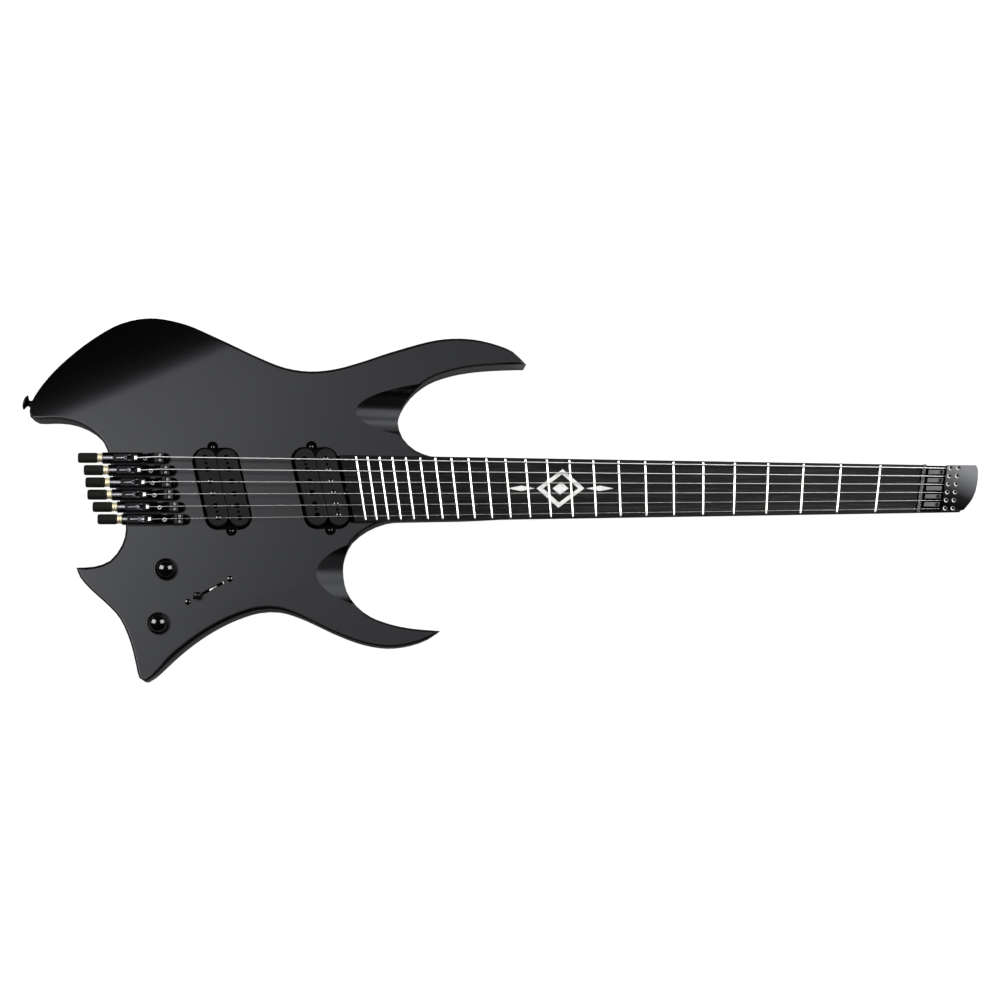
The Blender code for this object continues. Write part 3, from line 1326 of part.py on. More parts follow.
def tail_strap_matrix():
    """The tail strap button's seat, its Z pointing away from the body."""
    spot = Vector((*TAIL_STRAP, 0.5 * BODY_THICK)) * MM
    out = Vector((math.cos(math.radians(TAIL_STRAP_TURN)), math.sin(math.radians(TAIL_STRAP_TURN)), 0.0))
    return Matrix.Translation(spot) @ out.to_track_quat("Z", "Y").to_matrix().to_4x4()


def heel_strap_matrix():
    """The second strap button's seat, in the carved heel."""
    spot = Vector((*HEEL_STRAP, heel_floor(HEEL_STRAP[0]))) * MM
    tilt = math.radians(HEEL_CARVE_TILT)
    out = Vector((math.sin(tilt), 0.0, -math.cos(tilt)))
    return Matrix.Translation(spot) @ out.to_track_quat("Z", "Y").to_matrix().to_4x4()


def strap_hole(name, matrix):
    """The pilot hole for a strap button's screw."""
    tool = rod(name, 0.5 * STRAP_SCREW + GAP, (0.0, 0.0, -STRAP_SCREW_DEEP - 1.0), (0.0, 0.0, 6.0), 12)
    tool.matrix_world = matrix
    return tool


def strap_mesh():
    """A strap button with its screw: wide foot, narrow waist, round head."""
    head = 0.5 * STRAP_HEAD
    top = STRAP_HEIGHT
    screw = 0.5 * STRAP_SCREW
    profile = [(0.0, top - 0.6), (1.8, top - 0.6), (2.2, top), (0.62 * head, top - 0.3), (head, top - 1.6),
               (head, top - 2.4), (2.7, top - 4.4), (2.7, 2.6), (3.9, 1.0), (3.9, GAP), (screw, GAP),
               (screw, 3.0 - STRAP_SCREW_DEEP), (0.0, -STRAP_SCREW_DEEP)]
    mesh = settle(turned("strap_blank", profile, 16))
    mesh.materials.append(gloss_black())
    return mesh


def make_strap_buttons():
    """One button on the upper tail, one in the carved heel."""
    button = strap_mesh()
    smooth(place("strap_button_tail", button, None, guitar, tail_strap_matrix()))
    smooth(place("strap_button_heel", button, None, guitar, heel_strap_matrix()))


clear_scene()
make_body()
make_neck()
make_truss_rod()
make_fretboard()
make_nut()
make_lock()
for string_number in range(1, STRINGS + 1):
    make_string(string_number)
make_bridges()
make_pickups()
make_controls()
make_switch()
make_cover()
make_jack()
make_strap_buttons()
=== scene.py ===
import math

import bpy
from mathutils import Matrix, Vector


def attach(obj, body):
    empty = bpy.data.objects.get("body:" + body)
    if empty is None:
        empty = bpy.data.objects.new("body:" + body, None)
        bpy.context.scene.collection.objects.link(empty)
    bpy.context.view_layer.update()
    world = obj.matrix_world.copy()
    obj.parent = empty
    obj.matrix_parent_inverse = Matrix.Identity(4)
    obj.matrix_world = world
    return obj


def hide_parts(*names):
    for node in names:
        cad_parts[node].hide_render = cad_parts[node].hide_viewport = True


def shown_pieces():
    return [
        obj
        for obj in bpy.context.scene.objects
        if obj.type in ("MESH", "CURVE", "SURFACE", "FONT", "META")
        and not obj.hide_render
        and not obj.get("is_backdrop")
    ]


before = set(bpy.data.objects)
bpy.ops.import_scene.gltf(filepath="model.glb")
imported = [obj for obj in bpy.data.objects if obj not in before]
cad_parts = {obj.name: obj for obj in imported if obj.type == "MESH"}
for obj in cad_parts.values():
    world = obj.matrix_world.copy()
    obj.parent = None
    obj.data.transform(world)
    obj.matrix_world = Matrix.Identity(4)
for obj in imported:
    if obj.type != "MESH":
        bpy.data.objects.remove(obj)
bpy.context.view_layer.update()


# Body. The real one is a carved slab of light wood, sealed and sprayed with a satin charcoal
# lacquer that is almost black and takes its grey from the light it reflects. The pickup routs
# are brushed out with matte black conductive paint, and their colour is painted darker still as
# painted shade in the recess.

MM = 0.001


def only(piece):
    """Leaves one piece selected and active."""
    bpy.ops.object.select_all(action="DESELECT")
    piece.select_set(True)
    bpy.context.view_layer.objects.active = piece


def edit(piece, mode="VERT"):
    """Opens a piece in edit mode, drops what was selected there and selects all of it."""
    only(piece)
    bpy.ops.object.mode_set(mode="EDIT")
    bpy.ops.mesh.select_mode(type=mode)
    bpy.ops.mesh.select_all(action="DESELECT")
    bpy.ops.mesh.select_all(action="SELECT")


def closed():
    """Leaves edit mode."""
    bpy.ops.object.mode_set(mode="OBJECT")


def outward():
    """Turns every face outward and leaves edit mode."""
    bpy.ops.mesh.select_all(action="SELECT")
    bpy.ops.mesh.normals_make_consistent(inside=False)
    closed()


def traced(name, node):
    """A piece of its own in the shape of a CAD node, its loose triangles joined into clean faces."""
    piece = bpy.data.objects.new(name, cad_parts[node].data.copy())
    bpy.context.scene.collection.objects.link(piece)
    edit(piece)
    if piece.data.has_custom_normals:
        bpy.ops.mesh.customdata_custom_splitnormals_clear()
    bpy.ops.mesh.remove_doubles(threshold=0.002 * MM)
    bpy.ops.mesh.dissolve_limited(angle_limit=math.radians(0.6))
    closed()
    return piece


def modified(piece, kind, **settings):
    """Adds a modifier and applies it."""
    step = piece.modifiers.new(kind.lower(), kind)
    for key, value in settings.items():
        setattr(step, key, value)
    only(piece)
    bpy.ops.object.modifier_apply(modifier=step.name)
    return piece


def smoothed(piece, angle=32.0):
    """Shades the round parts smooth and keeps the flat parts flat."""
    only(piece)
    bpy.ops.object.shade_smooth_by_angle(angle=math.radians(angle))
    return modified(piece, "WEIGHTED_NORMAL", keep_sharp=True, weight=80)


def softened(piece, width, steps=2, angle=32.0):
    """Breaks the sharp edges by a width in millimetres."""
    modified(piece, "BEVEL", width=width * MM, segments=steps, limit_method="ANGLE",
             angle_limit=math.radians(angle), harden_normals=False)
    return smoothed(piece, angle)


class Value:
    """A number that changes over a surface, for shader maths written as Python."""

    def __init__(self, finish, socket):
        self.finish = finish
        self.socket = socket

    def sum(self, operation, first, second=0.0):
        return self.finish.node("ShaderNodeMath", {"operation": operation}, {0: first, 1: second})

    def __add__(self, other):
        return self.sum("ADD", self, other)

    __radd__ = __add__

    def __sub__(self, other):
        return self.sum("SUBTRACT", self, other)

    def __rsub__(self, other):
        return self.sum("SUBTRACT", other, self)

    def __mul__(self, other):
        return self.sum("MULTIPLY", self, other)

    __rmul__ = __mul__

    def __abs__(self):
        return self.sum("ABSOLUTE", self)

    def above(self, other):
        return self.sum("GREATER_THAN", self, other)

    def below(self, other):
        return self.sum("LESS_THAN", self, other)

    def at_most(self, other):
        return self.sum("MINIMUM", self, other)

    def at_least(self, other):
        return self.sum("MAXIMUM", self, other)


class Finish:
    """A finish: one material, its shader and the nodes that vary it."""

    def __init__(self, name, colour, roughness, metallic=0.0, **constants):
        self.material = bpy.data.materials.new(name)
        self.material.use_nodes = True
        self.tree = self.material.node_tree
        self.shader = self.tree.nodes["Principled BSDF"]
        self.set("Base Color", colour)
        self.set("Roughness", roughness)
        self.set("Metallic", metallic)
        for key, value in constants.items():
            self.set(key.replace("_", " "), value)

    def join(self, socket, value):
        if isinstance(value, Value):
            self.tree.links.new(value.socket, socket)
        elif isinstance(value, tuple) and socket.type == "RGBA":
            socket.default_value = (*value, 1.0)
        else:
            socket.default_value = value

    def set(self, name, value):
        self.join(self.shader.inputs[name], value)

    def node(self, kind, settings, inputs, output=0):
        made = self.tree.nodes.new(kind)
        for key, value in settings.items():
            if key == "stops":
                ramp = made.color_ramp
                while len(ramp.elements) < len(value):
                    ramp.elements.new(1.0)
                for stop, (place, shade) in zip(ramp.elements, value):
                    stop.position = place
                    stop.color = (*shade, 1.0)
            else:
                setattr(made, key, value)
        for key, value in inputs.items():
            self.join(made.inputs[key], value)
        return Value(self, made.outputs[output])

    def spot(self, stretch=(1.0, 1.0, 1.0)):
        """Where on the object a point is, in millimetres, stretched."""
        here = self.node("ShaderNodeTexCoord", {}, {}, "Object")
        grow = tuple(1.0 / (MM * s) for s in stretch)
        return self.node("ShaderNodeMapping", {}, {"Vector": here, "Scale": grow})

    def place(self, axis):
        """A point's place along one axis, in millimetres."""
        return self.node("ShaderNodeSeparateXYZ", {}, {"Vector": self.spot()}, axis)

    def noise(self, size, detail=2.0, stretch=(1.0, 1.0, 1.0), rough=0.5):
        """Cloudy noise with lumps of a size in millimetres, from 0 to 1."""
        return self.node("ShaderNodeTexNoise", {}, {"Vector": self.spot(stretch), "Scale": 1.0 / size,
                                                    "Detail": detail, "Roughness": rough}, "Fac")

    def rough(self, least, span, *noise):
        """Lets the roughness vary upward from its least value with a noise."""
        self.set("Roughness", least + span * self.noise(*noise))

    def mix(self, share, low, high):
        """From one colour to another."""
        return self.node("ShaderNodeMix", {"data_type": "RGBA"}, {0: share, 6: low, 7: high}, 2)

    def ramp(self, value, *stops):
        return self.node("ShaderNodeValToRGB", {"stops": stops}, {"Fac": value})

    def bump(self, height, depth, strength=1.0):
        """Raises the surface by a depth in millimetres where height is 1."""
        self.set("Normal", self.node("ShaderNodeBump", {}, {"Height": height, "Distance": depth * MM,
                                                            "Strength": strength}))


def fixed(piece, finish, body, slot, *nodes):
    """Gives a piece its finish and its body, and hides the CAD nodes that it stands for."""
    piece.data.materials.clear()
    piece.data.materials.append(finish.material)
    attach(piece, body)
    if nodes:
        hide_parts(*nodes)
    return piece


def lacquer(name, grey, sheen):
    """Satin lacquer, near black and a little cool."""
    return Finish(name, (grey, grey * 1.03, grey * 1.16), sheen, Specular_IOR_Level=1.0,
                  Specular_Tint=(0.92, 0.94, 1.0))


FRONT = 40.0
PICKUP_SLANT = 12.8
ROUT_MIDDLES = (43.8, 129.7)
ROUT_HALF = 24.5
charcoal = lacquer("charcoal_lacquer", 0.003, 0.21)
x, y, z = (charcoal.place(axis) for axis in "XYZ")
slant = x + y * math.tan(math.radians(PICKUP_SLANT))
near_bridge, near_neck = (abs(slant - middle).below(ROUT_HALF) for middle in ROUT_MIDDLES)
in_rout = (near_bridge + near_neck) * abs(y).below(45.0) * z.below(FRONT - 1.4) * z.above(6.0)
# Inside the pickup routs the colour is halved as painted shade in the recess, and the roughness is raised for the
# matte paint.
charcoal.set("Base Color", charcoal.mix(in_rout, (0.003, 0.0031, 0.0036), (0.0015, 0.0015, 0.0015)))
charcoal.set("Roughness", 0.195 + 0.03 * charcoal.noise(38.0, 3.0) + 0.74 * in_rout)


def rolled(distance, half, slope):
    """Drop of a surface that bends down over a strip of a half width about distance 0."""
    bend = (distance + half).at_least(0.0).at_most(2.0 * half)
    ramp = (distance - half).at_least(0.0)
    return bend * bend * (slope / (4.0 * half)) + ramp * slope


# The forearm bevel starts on a straight line. Its slight bend in the solid becomes a long soft roll.
BEVEL_START = (-102.9, 69.1)
BEVEL_WAY = (-0.3983, 0.9172)
BEVEL_SLOPE = 0.325
beyond = (x - BEVEL_START[0]) * BEVEL_WAY[0] + (y - BEVEL_START[1]) * BEVEL_WAY[1]
forearm = rolled(beyond - 10.8, 10.8, BEVEL_SLOPE) - rolled(beyond - 18.0, 31.0, BEVEL_SLOPE)
charcoal.bump(charcoal.noise(0.9, 2.0) * 0.004 + forearm, 1.0)


def hollowed(piece, hollows):
    """Gives the faces of round hollows their cylinders' own normals, so that they shine evenly."""
    mesh = piece.data
    normals = [corner.vector.copy() for corner in mesh.corner_normals]
    for (x, y), surface, radius, tilt, facing in hollows:
        slope = math.radians(tilt)
        run = Vector((math.cos(slope), 0.0, -facing * math.sin(slope)))
        start = Vector((x, y, surface)) + Vector((math.sin(slope), 0.0, facing * math.cos(slope))) * radius
        for face in mesh.polygons:
            away = face.center / MM - start
            away -= run * away.dot(run)
            if abs(away.length - radius) < 0.5 and face.normal.dot(away) < -0.97 * away.length:
                for corner in face.loop_indices:
                    point = mesh.vertices[mesh.loops[corner].vertex_index].co / MM - start
                    normals[corner] = (run * point.dot(run) - point).normalized()
    mesh.normals_split_custom_set(normals)
    return piece


UPPER_SCOOP = ((160.0, 68.8), FRONT, 29.0, 13.7, 1.0)
LOWER_SCOOP = ((125.5, -73.5), FRONT, 38.0, 20.5, 1.0)
HEEL_CARVE = ((178.0, 3.0), 0.0, 60.0, 14.0, -1.0)
body = smoothed(traced("body_shell", "body"), 40.0)
hollowed(body, (UPPER_SCOOP, LOWER_SCOOP, HEEL_CARVE))
fixed(body, charcoal, "guitar", "body_finish", "body")


# Neck. One length of wood with the tenon, the square heel and the round back cut on it, sprayed
# with the body in the same charcoal lacquer and rubbed down to a silky feel for the hand.

rubbed = lacquer("rubbed_lacquer", 0.0035, 0.3)
rubbed.rough(0.285, 0.03, 38.0, 3.0)
rubbed.bump(rubbed.noise(0.9, 2.0), 0.004)
neck = smoothed(traced("neck_shell", "neck"), 40.0)
fixed(neck, rubbed, "guitar", "neck_wood", "neck")


def refinished(finish, *nodes):
    """Gives CAD nodes that stay as they are a finish."""
    for node in nodes:
        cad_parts[node].data.materials.clear()
        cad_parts[node].data.materials.append(finish.material)


rod_steel = Finish("rod_steel", (0.28, 0.28, 0.29), 0.4, 1.0)
rod_steel.rough(0.32, 0.2, 1.2, 3.0, (8.0, 1.0, 1.0))
refinished(rod_steel, "truss_rod", "volume_shaft", "tone_shaft")


# Fretboard. A slip of near-black hardwood with a straight, fine grain, tapered to the nut and
# cambered on top. Its lower end runs at the pickups' slant and its upper end at the nut's, and it
# is glued to the neck.

BASS_SCALE = 665.5
TREBLE_SCALE = 647.7
NUT_SPREAD = 36.3
BRIDGE_SPREAD = 53.3
NUT_SLANT = 5.96
NUT_X = 0.5 * (BASS_SCALE + TREBLE_SCALE)
BOARD_UNDER = 43.7
BOARD_TOP = 49.4
BOARD_RADIUS = 400.0
BOARD_END = 152.3
NUT_HALF = 21.2


def nut_line(y):
    """X of the nut's edge at a distance from the centre line."""
    return NUT_X + y * NUT_SLANT / NUT_SPREAD


def neck_half(x):
    """Half width of neck and fretboard."""
    return NUT_HALF + 0.0158 * (NUT_X - x)


def camber(y):
    """Drop of the playing surface away from the centre line."""
    return BOARD_RADIUS - math.sqrt(BOARD_RADIUS ** 2 - y ** 2)


def moulded(piece, shape):
    """Moves each point of a piece to the place in millimetres that shape gives for it."""
    for point in piece.data.vertices:
        point.co = Vector(shape(*point.co)) * MM
    edit(piece)
    outward()
    return piece


def cube(name, cuts=0):
    """A cube from -1 to 1, cut up evenly, to be moulded."""
    bpy.ops.mesh.primitive_cube_add(size=2.0)
    piece = bpy.context.object
    piece.name = name
    if cuts:
        edit(piece)
        bpy.ops.mesh.subdivide(number_cuts=cuts)
        closed()
    return piece


def board_shape(u, v, w):
    start = BOARD_END - v * neck_half(BOARD_END) * math.tan(math.radians(PICKUP_SLANT))
    stop = nut_line(v * NUT_HALF) - 0.3
    x = start + (stop - start) * 0.5 * (u + 1.0)
    y = v * neck_half(x)
    top = BOARD_TOP - camber(y)
    return x, y, BOARD_UNDER + (top - BOARD_UNDER) * 0.5 * (w + 1.0)


ebony = Finish("ebony", (0.01, 0.01, 0.01), 0.5, Specular_IOR_Level=0.26)
streak = ebony.noise(1.1, 6.0, (26.0, 1.0, 1.0), 0.62)
band = ebony.noise(5.0, 2.0, (40.0, 1.0, 1.0))
ebony.set("Base Color", ebony.ramp(0.65 * streak + 0.35 * band, (0.36, (0.002, 0.0019, 0.0019)),
                                   (0.5, (0.008, 0.0077, 0.0075)), (0.66, (0.05, 0.047, 0.045))))
ebony.set("Roughness", 0.42 + 0.2 * streak)
ebony.bump(streak, 0.05)
board = softened(moulded(cube("board", 11), board_shape), 0.35)
fixed(board, ebony, "guitar", "fretboard", "fretboard")


# Frets. Twenty-four lengths of nickel-silver wire, crowned and polished, bent to the camber,
# pressed into fanned slots and bevelled at both ends.

FRET_WIDTH = 2.1
FRET_HEIGHT = 1.2


def swept(name, stations, sides, turn, grows):
    """A solid drawn out through rings at (x, y, z, radius), in millimetres, and closed at both ends."""
    *spot, radius = stations[0]
    bpy.ops.mesh.primitive_circle_add(vertices=sides, radius=radius * MM, fill_type="NGON",
                                      location=tuple(c * MM for c in spot), rotation=turn)
    piece = bpy.context.object
    piece.name = name
    bpy.ops.object.transform_apply(location=True, rotation=True, scale=True)
    edit(piece, "FACE")
    for *there, wide in stations[1:]:
        step = tuple((new - old) * MM for new, old in zip(there, spot))
        bpy.ops.mesh.extrude_region_move(TRANSFORM_OT_translate={"value": step})
        if wide != radius:
            bpy.ops.transform.resize(value=tuple(wide / radius if grow else 1.0 for grow in grows),
                                     center_override=tuple(c * MM for c in there))
        spot, radius = there, wide
    outward()
    return piece


def turned(name, profile, sides=48):
    """A lathe-turned solid about Z, its profile given as (radius, height) in millimetres."""
    return swept(name, [(0.0, 0.0, height, radius) for radius, height in profile], sides,
                 (0.0, 0.0, math.pi / sides), (True, True, False))


def fret_points(number):
    """A fret's bass and treble points on the outer strings."""
    share = 1.0 - 2.0 ** (-number / 12.0)
    wide = 0.5 * (NUT_SPREAD + (BRIDGE_SPREAD - NUT_SPREAD) * share)
    bass = Vector((nut_line(0.5 * NUT_SPREAD) - BASS_SCALE * share, wide))
    treble = Vector((nut_line(-0.5 * NUT_SPREAD) - TREBLE_SCALE * share, -wide))
    return bass, treble


def fret_shape(number):
    bass, treble = fret_points(number)
    run = (bass - treble).normalized()
    side = Vector((run.y, -run.x))
    half = (neck_half(0.5 * (bass.x + treble.x)) - 0.5) / run.y
    middle = treble + run * (-treble.y / run.y)

    def shape(x, y, z):
        spot = middle + run * (z / MM) * half + side * (x / MM) * 0.5 * FRET_WIDTH
        rise = y / MM * (FRET_HEIGHT if y > 0.0 else 0.5)
        return spot.x, spot.y, BOARD_TOP - camber(spot.y) + rise
    return shape


nickel = Finish("nickel_silver", (0.86, 0.85, 0.82), 0.2, 1.0)
scratch = nickel.noise(0.35, 2.0, (9.0, 1.0, 1.0))
nickel.set("Roughness", 0.16 + 0.16 * scratch)
nickel.bump(scratch, 0.003)
crown = [(0.3, -1.0), (0.72, -0.988), (1.0, -0.962)]
crown += [(1.0, 0.962 * k / 6.0) for k in range(-5, 6)]
crown += [(1.0, 0.962), (0.72, 0.988), (0.3, 1.0)]
for number in range(1, 25):
    fret = moulded(turned("fret_%02d" % number, crown, 14), fret_shape(number))
    fixed(smoothed(fret, 50.0), nickel, "guitar", "fretboard")


# Position markers. A plain lozenge frame with a small lozenge in it and a slim point each way, cut
# from white pearl shell and let into the board at the octave, and ten white dots along its bass edge.

pearl = Finish("pearl_shell", (0.8, 0.8, 0.78), 0.22, Coat_Weight=0.3)
sheet_waves = pearl.noise(4.5, 3.0, (1.0, 2.2, 1.0), 0.6)
pearl.set("Base Color", pearl.ramp(sheet_waves, (0.3, (0.44, 0.46, 0.47)), (0.5, (0.62, 0.62, 0.6)),
                                   (0.68, (0.54, 0.52, 0.51))))
pearl.set("Roughness", 0.18 + 0.14 * sheet_waves)


def let_in(name, outline, low=0.5, high=0.04):
    """A thin slip let into the board: its plan outline, and how far it goes down and stands up."""
    bpy.ops.mesh.primitive_circle_add(vertices=len(outline), radius=1.0, fill_type="NGON")
    piece = bpy.context.object
    piece.name = name
    for point, (x, y) in zip(piece.data.vertices, outline):
        point.co = (x, y, 0.0)
    edit(piece, "EDGE")
    bpy.ops.mesh.subdivide(number_cuts=7)
    closed()
    for point in piece.data.vertices:
        x, y, _ = point.co
        point.co = Vector((x, y, BOARD_TOP - camber(y) - low)) * MM
    edit(piece, "FACE")
    bpy.ops.mesh.extrude_region_move(TRANSFORM_OT_translate={"value": (0.0, 0.0, (low + high) * MM)})
    outward()
    return piece


def lozenge(centre, half_long, half_wide, lean=0.12):
    """Four corners in plan, leaned over with the frets."""
    x, y = centre
    return [(x + half_long, y), (x + lean * half_wide, y + half_wide), (x - half_long, y),
            (x - lean * half_wide, y - half_wide)]


def placed(piece, spot, turn=0.0, axis="Z"):
    """Turns a piece about the origin and puts it at its place, in millimetres."""
    piece.data.transform(Matrix.Translation(Vector(spot) * MM) @ Matrix.Rotation(math.radians(turn), 4, axis))
    return piece


def cut(piece, tool):
    """Cuts a tool's shape out of a piece and throws the tool away."""
    modified(piece, "BOOLEAN", operation="DIFFERENCE", object=tool, solver="EXACT")
    bpy.data.objects.remove(tool)


OCTAVE = (338.5, 0.0)
octave_frame = let_in("octave_frame", lozenge(OCTAVE, 21.0, 17.0))
cut(octave_frame, let_in("window", lozenge(OCTAVE, 15.4, 12.4), 1.0, 1.0))
fixed(octave_frame, pearl, "guitar", "fretboard")
fixed(let_in("octave_heart", lozenge(OCTAVE, 7.0, 5.6)), pearl, "guitar", "fretboard")
for way, name in ((-1.0, "octave_point_low"), (1.0, "octave_point_high")):
    spot = (OCTAVE[0] + way * 34.5, 0.0)
    fixed(let_in(name, lozenge(spot, 12.0, 2.4)), pearl, "guitar", "fretboard")

for number, shift in ((3, 0), (5, 0), (7, 0), (9, 0), (12, -4), (12, 4), (15, 0), (17, 0), (19, 0), (21, 0)):
    here = fret_points(number)[0].x
    before = fret_points(number - 1)[0].x
    x = 0.5 * (here + before) + shift
    dot = turned("side_dot_%d_%d" % (number, shift + 4), [(1.05, -0.8), (1.05, -0.04), (0.98, 0.04)], 20)
    placed(dot, (x, neck_half(x), 46.7), -90.0, "X")
    fixed(smoothed(dot), pearl, "guitar", "fretboard")


# Nut. A bar of grey sintered graphite and metal, notched for six strings and glued across the end
# of the fretboard.

graphite = Finish("nut_graphite", (0.12, 0.125, 0.14), 0.42, 0.6)
speck = graphite.noise(1.1, 4.0, (1.0, 1.0, 1.0), 0.7)
graphite.set("Base Color", graphite.ramp(speck, (0.38, (0.02, 0.021, 0.025)), (0.5, (0.09, 0.094, 0.105)),
                                         (0.62, (0.3, 0.31, 0.33))))
graphite.set("Roughness", 0.36 + 0.2 * speck)
graphite.bump(speck, 0.02)
nut = softened(traced("nut_bar", "nut"), 0.18)
fixed(nut, graphite, "guitar", "fretboard", "nut")


# String lock. A block of alloy milled with a fin between each pair of strings and a bore for each
# string, bead-blasted and anodised steel grey, and screwed down on the neck's end. Two rows of hex
# set screws hold the strings, and cap screws through four of the fins hold the block.

FIN_TOP = 52.6
LOCK_TOP = 54.5
CAP_PLACE = 17.2
anodised = Finish("anodised_grey", (0.2, 0.21, 0.23), 0.36, 1.0)
blast = anodised.noise(0.45, 3.0)
brush = anodised.noise(0.6, 3.0, (9.0, 1.0, 1.0))
x, y, z = (anodised.place(axis) for axis in "XYZ")
# The top's colour runs from near-black at one corner to light grey at the other: a painted sheen that stands in for
# reflected light, with the blasting's random mottle in it.
painted_sheen_and_mottle = anodised.ramp((y + 0.45 * (x - 680.0)) * 0.022 + 0.4 + 0.2 * (blast - 0.5),
                     (0.05, (0.004, 0.004, 0.004)), (0.35, (0.03, 0.03, 0.032)), (0.65, (0.26, 0.265, 0.285)),
                     (0.95, (0.5, 0.51, 0.54)))
fin_grey = anodised.mix(brush, (0.2, 0.2, 0.205), (0.5, 0.5, 0.51))
# Everything below the fins' tops, the channels between them and the block's sides, is painted near-black as painted
# shade.
painted_cleft_shade = anodised.mix(z.above(FIN_TOP - 0.4), (0.008, 0.008, 0.009), fin_grey)
anodised.set("Base Color", anodised.mix(z.above(LOCK_TOP - 1.1), painted_cleft_shade, painted_sheen_and_mottle))
anodised.set("Roughness", 0.34 + 0.14 * blast)
anodised.bump(blast, 0.01)
lock = softened(traced("lock_block", "head_lock"), 0.25)
fixed(lock, anodised, "guitar", "grey_metal", "head_lock")


def paint_shade_inside(piece, finish, middle, reach, first=0, second=1):
    """Paints the inside of a head or socket near-black as painted shade: the faces within a reach of its axis, in
    millimetres.
    """
    piece.data.materials.append(finish.material)
    for face in piece.data.polygons:
        away = math.hypot(face.center[first] - middle[0] * MM, face.center[second] - middle[1] * MM)
        if away < reach * MM:
            face.material_index = 1
    return piece


def string_share(number):
    """1 at the bass string, -1 at the treble string."""
    return 1.0 - 0.4 * (number - 1)


def string_y(number, x):
    """Distance of a string from the centre line at a place along the neck."""
    bridge = 0.5 * (nut_line(0.5 * NUT_SPREAD) - BASS_SCALE + nut_line(-0.5 * NUT_SPREAD) - TREBLE_SCALE)
    along = (NUT_X - x) / (NUT_X - bridge)
    return 0.5 * string_share(number) * (NUT_SPREAD + (BRIDGE_SPREAD - NUT_SPREAD) * along)


def socketed(name, profile, across_flats, sides=24):
    """A turned screw whose last steps go down a hexagon socket: its rim is pressed to six flats."""
    rim, floor = profile[-2:]
    piece = turned(name, profile, sides)
    for point in piece.data.vertices:
        x, y, z = point.co
        inside = math.hypot(x, y) < rim[0] * MM * 1.02 and z > (floor[1] - 0.001) * MM
        if inside and (abs(z - rim[1] * MM) < 1e-7 or abs(z - floor[1] * MM) < 1e-7):
            angle = math.atan2(y, x)
            flat = 0.5 * across_flats / math.cos((angle % (math.pi / 3.0)) - math.pi / 6.0)
            point.co = (flat * MM * math.cos(angle), flat * MM * math.sin(angle), z)
    return piece


black_oxide = Finish("black_oxide_steel", (0.03, 0.03, 0.032), 0.3, 1.0)
oxide = black_oxide.noise(0.8, 3.0)
black_oxide.set("Base Color", black_oxide.mix(oxide, (0.022, 0.022, 0.025), (0.05, 0.05, 0.054)))
black_oxide.set("Roughness", 0.24 + 0.16 * oxide)
set_steel = Finish("set_screw_steel", (0.2, 0.197, 0.186), 0.3, 1.0)
set_steel.rough(0.24, 0.2, 0.4, 3.0)
# Near-black for the insides of sockets and heads: painted shade.
socket_shade = Finish("socket_shade", (0.004, 0.004, 0.004), 0.6, Specular_IOR_Level=0.2)
socket_shade.rough(0.5, 0.2, 0.5, 2.0)
for number in range(1, 7):
    y = string_y(number, NUT_X + 21.3)
    for row, along in (("front", 24.5), ("rear", 31.5)):
        screw = socketed("lock_screw_%s_%d" % (row, number),
                         [(1.9, -1.15), (2.05, -0.4), (1.95, -0.12), (1.58, -0.25), (1.4, -1.0)], 2.4)
        placed(screw, (nut_line(y) + along, y, LOCK_TOP), 17.0 * number)
        fixed(smoothed(screw), set_steel, "guitar", "plain_steel")
        paint_shade_inside(screw, socket_shade, (nut_line(y) + along, y), 1.55)
for number in (1, 2, 4, 5):
    low = string_y(number + 1, NUT_X + 17.0)
    high = string_y(number, NUT_X + 17.0)
    y = 0.5 * (low + high)
    screw = socketed("lock_cap_%d" % number,
                     [(1.5, 0.02), (1.62, 0.2), (1.62, 0.75), (1.4, 0.95), (0.95, 0.95), (0.9, 0.3)], 1.5)
    placed(screw, (nut_line(y) + CAP_PLACE, y, FIN_TOP), 11.0 * number)
    fixed(smoothed(screw), black_oxide, "guitar", "plain_steel")
    # The caps' sockets and most of their tops are painted near-black; in the sockets it is painted shade.
    paint_shade_inside(screw, socket_shade, (nut_line(y) + CAP_PLACE, y), 1.58)


# Strings. Steel wire: the three thin ones plain, the three thick ones with a round nickel winding on
# a hexagon core. Each is clamped in the lock, bears on the nut and its saddle, and ends in a twist
# round a small spool that the carriage holds.

STRING_SIZES = (1.17, 0.91, 0.66, 0.43, 0.33, 0.25)
COMPENSATION = (6.6, 3.8, 4.7, 5.3, 3.1, 1.2)
BALL_PLACES = (-17.9, -20.2, -18.1, -18.7, -20.6, -22.8)
BALL_HEIGHT = FRONT + 6.8
LOCK_BORE = 50.4


def bridge_line(y):
    """X of the bridge line, which the saddles sit a little behind."""
    bass = nut_line(0.5 * NUT_SPREAD) - BASS_SCALE
    treble = nut_line(-0.5 * NUT_SPREAD) - TREBLE_SCALE
    return 0.5 * (bass + treble) + y * (bass - treble) / BRIDGE_SPREAD


def saddle_x(number):
    return bridge_line(string_y(number, 0.0)) - COMPENSATION[number - 1]


def unit_y(number):
    return 0.5 * BRIDGE_SPREAD * string_share(number)


def string_height(number, x):
    """Middle of a string between nut and saddle."""
    bridge = bridge_line(0.0)
    along = (NUT_X - x) / (NUT_X - bridge)
    rise = 0.8 + 1.8 * along
    return BOARD_TOP + FRET_HEIGHT - camber(string_y(number, x)) + rise + 0.5 * STRING_SIZES[number - 1]


def drawn(name, stations):
    """A wire or sleeve along X through (x, y, z, radius) stations."""
    return swept(name, stations, 16, (0.0, math.pi / 2.0, 0.0), (False, True, True))


